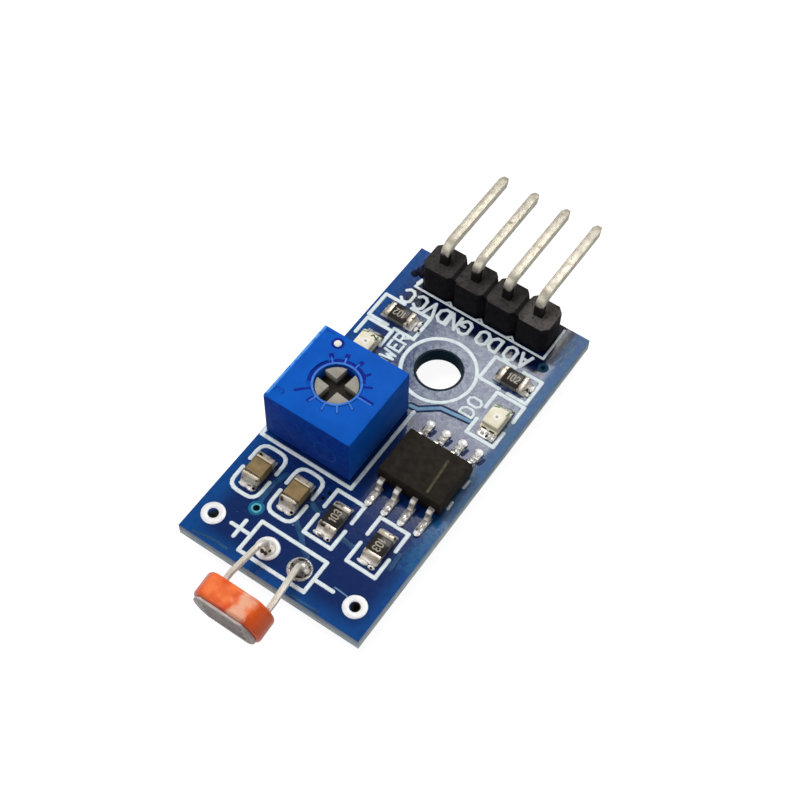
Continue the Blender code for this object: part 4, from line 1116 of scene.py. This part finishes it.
# %% Lines on the capacitors
line_pale = toned("line_pale", (0.72, 0.64, 0.5), (0.6, 0.52, 0.38), 4.0, 20, 0.35, 0.5, 0.004)
line_dark = toned("line_dark", (0.07, 0.05, 0.025), (0.1, 0.07, 0.04), 4.0, 20, 0.35, 0.5, 0.004)
LINE_INSET = 0.08
for number in (1, 2):
    left, right, near, far, level = extent(f"capacitor_{number}_body")
    for tint, ends, width, material, rise in (
        ("pale", (near - 0.2, far + 0.02), 0.13, line_pale, 0.006),
        ("dark", (near - 0.08, far - 0.1), 0.06, line_dark, 0.005),
    ):
        lines = [[(left + LINE_INSET, y), (right - LINE_INSET, y)] for y in ends]
        ink(f"capacitor_{number}_{tint}", lines, width, material, rise, level, 8)
    pit = at(right - 0.14, near - 0.6, 0.17)
    dome(f"capacitor_{number}_pit", pit, 0.12, 0.09, 0.07, via_dark)
print("capacitor top over the board:", round(level, 2), "mm")

# %% [markdown]
# The value codes on the resistors are printed numbers, in thousands of ohms: a value, and
# nothing else.

# %% Value codes
CODE_HEIGHT = 0.52
CODE_STEP = 0.34
CODES = (
    ("103", 7.92, 5.98, *ALONG),
    ("103", 11.38, 5.98, (0, -1), (1, 0)),
    ("102", 2.25, 21.5, *BACKWARDS),
    ("102", 11.5, 21.5, (1, 0), (0, 1)),
)
code_white = toned("code_white", (0.5, 0.45, 0.36), (0.32, 0.28, 0.21), 5.0, 20, 0.45, 0.6, 0.004)
codes = []
for text, x, y, heading, up in CODES:
    for i, letter in enumerate(text):
        step = (i - 1) * CODE_STEP
        place = (x + heading[0] * step, y + heading[1] * step)
        codes += lettered(letter, *place, CODE_HEIGHT, heading, up, 0.8)
ink("value_codes", codes, 0.09, code_white, 0.008, CHIP_TOP - BOARD_TOP, 8)
print("strokes in codes:", len(codes))

# %% [markdown]
# The comparator is a dark moulding with a pale bar printed across its first end. Its bent
# leads are tinned and sit in bright solder with a white toe. The near ones get a duller tin
# as painted shade.

# %% Comparator
LEAD_PITCH = 1.27
moulding_brown = toned(
    "moulding_brown", (0.014, 0.011, 0.008), (0.024, 0.019, 0.014), 2.0, 16, 0.5, 0.7, 0.03,
    specular=0.1,
)
shaded_leg_tin = metal(
    "shaded_leg_tin", (0.56, 0.54, 0.5), (0.4, 0.38, 0.35), (0.12, 0.1, 0.08),
    2.0, 0.34, 0.3, 0.5, 0.02, 0.6,
)
bar_pale = toned("bar_pale", (0.095, 0.08, 0.042), (0.055, 0.047, 0.028), 3.0, 20, 0.5, 0.7, 0.004)
softened("comparator_body", "comparator_moulding", 0.05, moulding_brown)
_, _, body_near, _, body_top = extent("comparator_body")
for number in range(1, 9):
    # The near leads get a duller tin as painted shade.
    is_near = extent(f"comparator_lead_{number}")[2] < body_near
    plating = shaded_leg_tin if is_near else solder_bright
    softened(f"comparator_lead_{number}", f"comparator_leg_{number}", 0.035, plating)
ink("comparator_bar", [[(11.83, 12.99), (12.01, 10.37)]], 0.2, bar_pale, 0.006, body_top, 8)
LEG_BEADS = (
    ("leg_solder_near", 8.54, 0.1, 0.27, 0.42, 0.2, solder_bright, 0.03),
    ("leg_solder_far", 15.24, 0.04, 0.27, 0.46, 0.14, solder_bright, 0.03),
    ("leg_toe_near", 8.22, 0.12, 0.25, 0.28, 0.11, solder_white, 0.02),
    ("leg_toe_far", 15.42, 0.16, 0.33, 0.31, 0.12, solder_white, 0.02),
)
legs = [8.925 + LEAD_PITCH * i for i in range(4)]
for number, x in enumerate(legs, start=1):
    for name, y, z, *bead in LEG_BEADS:
        dome(f"{name}_{number}", at(x, y, z), *bead)
# Dark strokes beside the far toes: painted reflections of the leads in the glossy film.
leg_reflection_strokes = [[(x + 0.42, 14.75), (x + 0.5, 15.2)] for x in legs]
ink("leg_reflections", leg_reflection_strokes, 0.26, gap_dark, rise=0.006)
print("comparator top over the board:", round(body_top, 2), "mm")

# %% [markdown]
# The trimmer's housing is bright blue plastic, with painted shade on its near side and a
# painted highlight along its top left edge. Its rotor is grey, with painted shade down the
# slots of its cross.

# %% Trimmer
shell_low, shell_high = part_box("trimmer_housing")
trimmer_blue = toned(
    "trimmer_blue", (0.003, 0.085, 0.45), (0.004, 0.1, 0.51), 0.8, 24, 0.45, 0.62, 0.008,
    specular=0.06,
)
tree = trimmer_blue.node_tree
place = place_in(tree)
x, y, z = parts(place)
waver = noise(place, 2.4, 3.0)
smeared = math_node("MULTIPLY_ADD", step_over(waver, 0.35, 0.65), 0.3, 0.45)
# Painted shade on the near side, in uneven strength.
near_side_shade = step_over(facing(tree)["Y"], -0.4, -0.8)
laid_over(trimmer_blue, times(near_side_shade, smeared), (0.001, 0.022, 0.32))
# A painted highlight in patches along the top left edge.
left_edge = step_over(x, shell_low.x / MM + 0.3, shell_low.x / MM + 0.12)
top_edge = step_over(z, shell_high.z / MM - 0.22, shell_high.z / MM - 0.1)
edge_highlight = times(times(left_edge, top_edge), step_over(waver, 0.3, 0.5))
laid_over(trimmer_blue, edge_highlight, (0.1, 0.32, 0.8))

rotor_grey = toned("rotor_grey", (0.36, 0.34, 0.29), (0.28, 0.26, 0.22), 1.5, 20, 0.4, 0.6)
rotor_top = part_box("trimmer_rotor")[1].z / MM
# Painted shade: the grey darkens with depth down the slots of the cross.
height = parts(place_in(rotor_grey.node_tree))["Z"]
laid_over(rotor_grey, step_over(height, rotor_top - 0.05, rotor_top - 0.75), (0.03, 0.025, 0.02))


def round_marked(thing, weight_of, width, segments):
    """Round a mesh's edges by the weight that each one gets from its two ends."""
    weights = thing.data.attributes.new("bevel_weight_edge", "FLOAT", "EDGE")
    for edge in thing.data.edges:
        weights.data[edge.index].value = weight_of(list(edge.vertices))
    bevel(thing, width, segments, "WEIGHT")


def on_two_sides(ends):
    """1 for an edge that lies in two of the housing's outer faces."""
    points = [shell.data.vertices[i].co for i in ends]
    faces = 0
    for axis in range(3):
        for bound in (shell_low[axis], shell_high[axis]):
            faces += all(abs(point[axis] - bound) < TINY for point in points)
    return float(faces > 1)


shell = merged_copy("trimmer_housing", "trimmer_shell")
round_marked(shell, on_two_sides, 0.11, 3)
soften(shell, "trimmer_housing", 0.015, trimmer_blue, segments=1, angle=50)
softened("trimmer_rotor", "rotor_cross", 0.04, rotor_grey, body=ROTOR)
print("shell:", len(shell.data.polygons), "faces")

# %% [markdown]
# The dial's marks are moulded: a thin rim stands round the rotor, and ribs run out from it,
# one for each step of the turn. Rim and ribs are a paler blue as a painted highlight, and
# dark strokes round the rim and beside the ribs are painted shadow. The first and the middle
# mark are long. A white dot in a dark ring and the two end numbers sit beside it.

# %% Dial marks
MOULDED = (3.0, 20, 0.4, 0.6, 0.006)
# The paler blue of the rim and the ribs is a painted highlight.
highlight_blue = toned("highlight_blue", (0.06, 0.21, 0.68), (0.035, 0.15, 0.58), 3.0, 20, 0.3, 0.5, 0.006)
ring_and_shadow_blue = toned("ring_and_shadow_blue", (0.0015, 0.012, 0.22), (0.002, 0.02, 0.28), *MOULDED, specular=0.1)
number_blue = toned("number_blue", (0.002, 0.05, 0.33), (0.003, 0.06, 0.38), *MOULDED, specular=0.1)
dot_white = toned("dot_white", (0.82, 0.8, 0.72), (0.7, 0.68, 0.6), 4.0, 20, 0.4, 0.6, 0.006)
left, right, near, far, TRIMMER_HIGH = extent("trimmer_housing")
DIAL = ((left + right) / 2, (near + far) / 2)
DIAL_START = -135
DIAL_STEP = 27


def spoke(turn, start, end, aside=0.0):
    """A radial line on the dial, moved sideways when asked."""
    c, s = math.cos(math.radians(turn)), math.sin(math.radians(turn))
    return [(DIAL[0] + r * c - aside * s, DIAL[1] + r * s + aside * c) for r in (start, end)]


def tick(count, *sizes):
    """A spoke at one of the dial's steps."""
    return spoke(DIAL_START + DIAL_STEP * count, *sizes)


# These dark strokes are painted shadow round the rim and beside the ribs.
shadow_strokes = [arc(*DIAL, 1.77, 38, 205, 30), tick(0, 1.75, 2.7), spoke(0, 1.85, 2.74, 0.08)]
shadow_strokes += [arc(*DIAL, 1.85, 48, 128, 30), tick(1, 1.86, 2.24, -0.12)]
shadow_strokes += [tick(6, 1.76, 2.26), tick(7, 1.76, 2.26)]
ribs = [spoke(0, 1.7, 2.66, -0.07)] + [tick(count, 1.68, 2.16) for count in (1, 2, 3, 4)]
for count in (8, 9, 10):
    shadow_strokes += [tick(count, 2.1, 2.34, -0.09), tick(count, 2.16, 2.34, 0.05)]
    ribs.append(tick(count, 1.68, 2.06))
ink("dial_shadows", shadow_strokes, 0.19, ring_and_shadow_blue, 0.006, TRIMMER_HIGH, 10)
ink("dial_ribs", ribs, 0.13, highlight_blue, 0.028, TRIMMER_HIGH, 10)
ring("dial_rim", at(*DIAL, TRIMMER_HIGH), 1.69, 1.52, 0.04, highlight_blue)
DOT = (DIAL[0] - 1.8, DIAL[1] + 2.6)
ring("dot_ring", at(*DOT, TRIMMER_HIGH), 0.44, 0.25, 0.02, ring_and_shadow_blue)
dome("dial_dot", at(*DOT, TRIMMER_HIGH - 0.02), 0.29, 0.29, 0.05, dot_white)
numbers = lettered("1", DIAL[0] - 2.72, DIAL[1] + 3.0, 0.6, *ALONG)
numbers += lettered("3", DIAL[0] - 2.7, DIAL[1] - 2.49, 0.6, *ALONG)
ink("dial_numbers", numbers, 0.12, number_blue, 0.005, TRIMMER_HIGH, 8)
print("dial at", [round(v, 2) for v in DIAL], "with", len(shadow_strokes) + len(ribs), "marks")

# %% [markdown]
# The near side of the housing has a moulded circle and a few scrapes. They are the same
# pressed lines, turned upright onto that side.

# %% Marks on the trimmer's near side
SCRAPES = [
    [(1.6, 2.5), (2.05, 1.7)], [(2.1, 1.9), (2.85, 0.7)],
    [(3.8, 2.5), (4.3, 2.3)], [(2.9, 3.3), (3.2, 2.6)],
]
side_blue = toned("side_blue", (0.012, 0.11, 0.47), (0.006, 0.085, 0.4), 3.0, 20, 0.45, 0.6, 0.006)
upright = Matrix.Translation(at(0, near)) @ Matrix.Rotation(math.pi / 2, 4, "X")
ink("side_circle", [arc(5.1, 1.9, 0.85)], 0.07, side_blue, 0.004, sides=8, plane=upright)
ink("side_scrapes", SCRAPES, 0.07, side_blue, 0.004, sides=8, plane=upright)
print("scrapes:", len(SCRAPES))

# %% [markdown]
# The parts inside the trimmer are hidden, but they are real pieces, and get real finishes.

# %% Hidden pieces and terminals
element_white = toned("element_white", (0.78, 0.77, 0.72), (0.7, 0.69, 0.64), 1.0, 20, 0.5, 0.7)
seal_blue = toned("seal_blue", (0.03, 0.09, 0.3), (0.02, 0.06, 0.22), 1.5, 12, 0.3, 0.5, 0.02)
ring_black = toned("ring_black", (0.02, 0.02, 0.02), (0.03, 0.03, 0.03), 2.0, 20, 0.5, 0.7)
spring_gold = metal(
    "spring_gold", (0.75, 0.55, 0.28), (0.65, 0.45, 0.2), (0.4, 0.28, 0.15), 1.0, 0.3, 0.25, 0.4
)
HIDDEN = {
    "element": element_white,
    "bottom_seal": seal_blue,
    "seal_ring": ring_black,
    "wiper": spring_gold,
    "terminal_1": solder_bright,
    "terminal_2": solder_bright,
    "terminal_3": solder_bright,
}
for part, material in HIDDEN.items():
    painted(f"trimmer_{part}", material)
print("hidden pieces and terminals:", len(HIDDEN))

# %% [markdown]
# The sensor is a ceramic disc dipped in orange resin. A pale patch in the middle of the coat
# is a painted reflection, and the orange is deeper towards its right end. The disc leans, so
# its edges are picked in a frame of its own: across, up along the disc, and outward through
# its face.

# %% Light sensor
resin_orange = toned(
    "resin_orange", (0.72, 0.068, 0.012), (0.92, 0.2, 0.05), 1.1, 3.0, 0.12, 0.3, 0.05,
    coat=0.12, specular=0.2,
)
face_grey = toned(
    "face_grey", (0.62, 0.52, 0.5), (0.42, 0.35, 0.34), 2.2, 14, 0.3, 0.5, 0.02, coat=0.2
)
place = place_in(resin_orange.node_tree)
swing = times(math_node("SUBTRACT", noise(place, 1.6, 2.0), 0.5), 1.6)
across = math_node("ADD", parts(place)["X"], swing)
laid_over(resin_orange, step_over(across, 1.4, 2.1), (0.98, 0.13, 0.02))
# A pale patch in the middle of the coat: a painted reflection on its gloss.
pale_reflection = times(times(step_over(across, 0.1, 0.75), step_over(across, 1.75, 1.05)), 0.75)
laid_over(resin_orange, pale_reflection, (0.88, 0.5, 0.34))

SENSOR_TILT = math.radians(8.4)
OUTWARD = Vector((0, -math.cos(SENSOR_TILT), -math.sin(SENSOR_TILT)))
UPWARD = Vector((0, -math.sin(SENSOR_TILT), math.cos(SENSOR_TILT)))
disc_middle = sum(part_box("sensor_disc"), Vector()) / 2
coat = merged_copy("sensor_disc", "sensor_coat")
local = []
for vertex in coat.data.vertices:
    arm = vertex.co - disc_middle
    local.append((arm.x, arm.dot(UPWARD), arm.dot(OUTWARD)))
widest = max(depth for _, _, depth in local)
tallest = max(height for _, height, _ in local)
flat_end = max(x for x, height, _ in local if height > tallest - TINY)


def coat_weight(ends):
    """How round an edge is: the back most, the face little, and the flats' ends fully."""
    points = [local[i] for i in ends]
    if all(depth < TINY - widest for _, _, depth in points):
        return 0.6
    if all(depth > widest - TINY for _, _, depth in points):
        return 0.2
    on_flats = all(abs(height) > tallest - TINY for _, height, _ in points)
    return float(on_flats and all(abs(abs(x) - flat_end) < TINY for x, _, _ in points))


round_marked(coat, coat_weight, 0.4, 5)
smoothed(50)
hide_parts("sensor_disc")
finished(coat, resin_orange)
softened("sensor_face", "sensor_window", 0.04, face_grey)
print("coat:", len(coat.data.polygons), "faces; flat ends at", round(flat_end / MM, 2))

# %% [markdown]
# Under the window's resin runs one long track of light-sensitive film, folded to and fro
# between two metal combs. It is drawn flat as one line and then turned onto the face.

# %% Sensor track
FACE_THICKNESS = 0.18
ROWS = 6
ROW_END = 1.45
face_middle = sum(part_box("sensor_face"), Vector()) / 2
on_face = Matrix.Translation(face_middle + OUTWARD * FACE_THICKNESS / 2 * MM)
on_face = on_face @ Matrix.Rotation(math.pi / 2 + SENSOR_TILT, 4, "X")
UNDER_RESIN = (3.0, 14, 0.3, 0.5)
track_brown = toned("track_brown", (0.12, 0.07, 0.06), (0.08, 0.05, 0.045), *UNDER_RESIN, coat=0.3)
comb_pale = toned("comb_pale", (0.4, 0.37, 0.35), (0.3, 0.27, 0.26), *UNDER_RESIN, coat=0.3)
track = []
for i in range(ROWS):
    row = 1.15 - i * 2.3 / (ROWS - 1)
    start = -ROW_END if i % 2 == 0 else ROW_END
    track += [(start, row), (-start, row)]
combs = [[(x, -1.0), (x, 1.0)] for x in (-1.75, 1.75)]
ink("sensor_track", [rounded(track, 0.18)], 0.17, track_brown, 0.012, sides=8, plane=on_face)
ink("sensor_combs", combs, 0.24, comb_pale, 0.012, sides=8, plane=on_face)
print("track points:", len(track))

# %% [markdown]
# The stage is a pale floor, a plain pale world and soft lamps. The camera and shiny
# surfaces see white round the object, and the lamps alone light it. The floor can be seen
# through from below, so that a camera there sees the underside of the board.

# %% Stage and light
BLACK = (0.0, 0.0, 0.0)
FLOOR_LIT = (0.3, 0.3, 0.3)
FLOOR_OWN = (0.25, 0.25, 0.25)
FLOOR_SEEN = (0.92, 0.92, 0.92)
FLOOR_MIRRORED = (0.45, 0.45, 0.45)
WORLD_LIGHT = 0.3
WORLD_MIRRORED = 0.12

bpy.ops.mesh.primitive_plane_add(size=4.0, location=(0, 0, 0))
floor = bpy.context.object
floor.name = "floor"
floor_pale, tree, shader = new_finish("floor_pale", specular=0.1)
path = add_node(tree, "LightPath").outputs
mirrored = math_node("MAXIMUM", path["Is Glossy Ray"], path["Is Transmission Ray"])
seen = math_node("MAXIMUM", path["Is Camera Ray"], mirrored)
give(shader.inputs["Roughness"], 0.9)
give(shader.inputs["Base Color"], over(seen, FLOOR_LIT, FLOOR_OWN))
glow = over(mirrored, over(path["Is Camera Ray"], BLACK, FLOOR_SEEN), FLOOR_MIRRORED)
give(shader.inputs["Emission Color"], glow)
give(shader.inputs["Emission Strength"], 1.0)
from_below = add_node(tree, "NewGeometry").outputs["Backfacing"]
give(shader.inputs["Alpha"], math_node("SUBTRACT", 1.0, from_below))
floor.data.materials.append(floor_pale)

world = bpy.data.worlds.new("pale_world")
bpy.context.scene.world = world
world.use_nodes = True
backdrop = world.node_tree.nodes["Background"]
path = add_node(world.node_tree, "LightPath").outputs
level = ranged(path["Is Glossy Ray"], 0.0, 1.0, To_Min=WORLD_LIGHT, To_Max=WORLD_MIRRORED)
give(backdrop.inputs["Strength"], math_node("MAXIMUM", level, path["Is Camera Ray"]))
give(backdrop.inputs["Color"], (1.0, 1.0, 1.0))


def lamp(name, place, size, energy, mirrored=True, lights=True):
    """A soft square lamp that faces the module; a card only shows in shiny surfaces."""
    bpy.ops.object.light_add(type="AREA", location=place)
    made = bpy.context.object
    made.name = name
    made.data.size = size
    made.data.energy = energy
    made.visible_glossy = mirrored
    made.visible_diffuse = lights
    made.rotation_mode = "QUATERNION"
    made.rotation_quaternion = (-Vector(place)).to_track_quat("-Z", "Y")
    return made


lamp("lamp_behind", (-0.04, 0.2, 0.263), 0.13, 0.35)
lamp("lamp_above", (-0.14, 0.0, 0.3), 0.16, 0.62, mirrored=False)
lamp("lamp_front", (0.25, -0.3, 0.2), 0.25, 0.12, mirrored=False)
lamp("card_near", (-0.1, -0.22, 0.2), 0.2, 0.32, lights=False)
lamp("card_right", (0.2, 0.1, 0.22), 0.16, 0.17, lights=False)
print("lamps and cards:", len(bpy.data.lights))
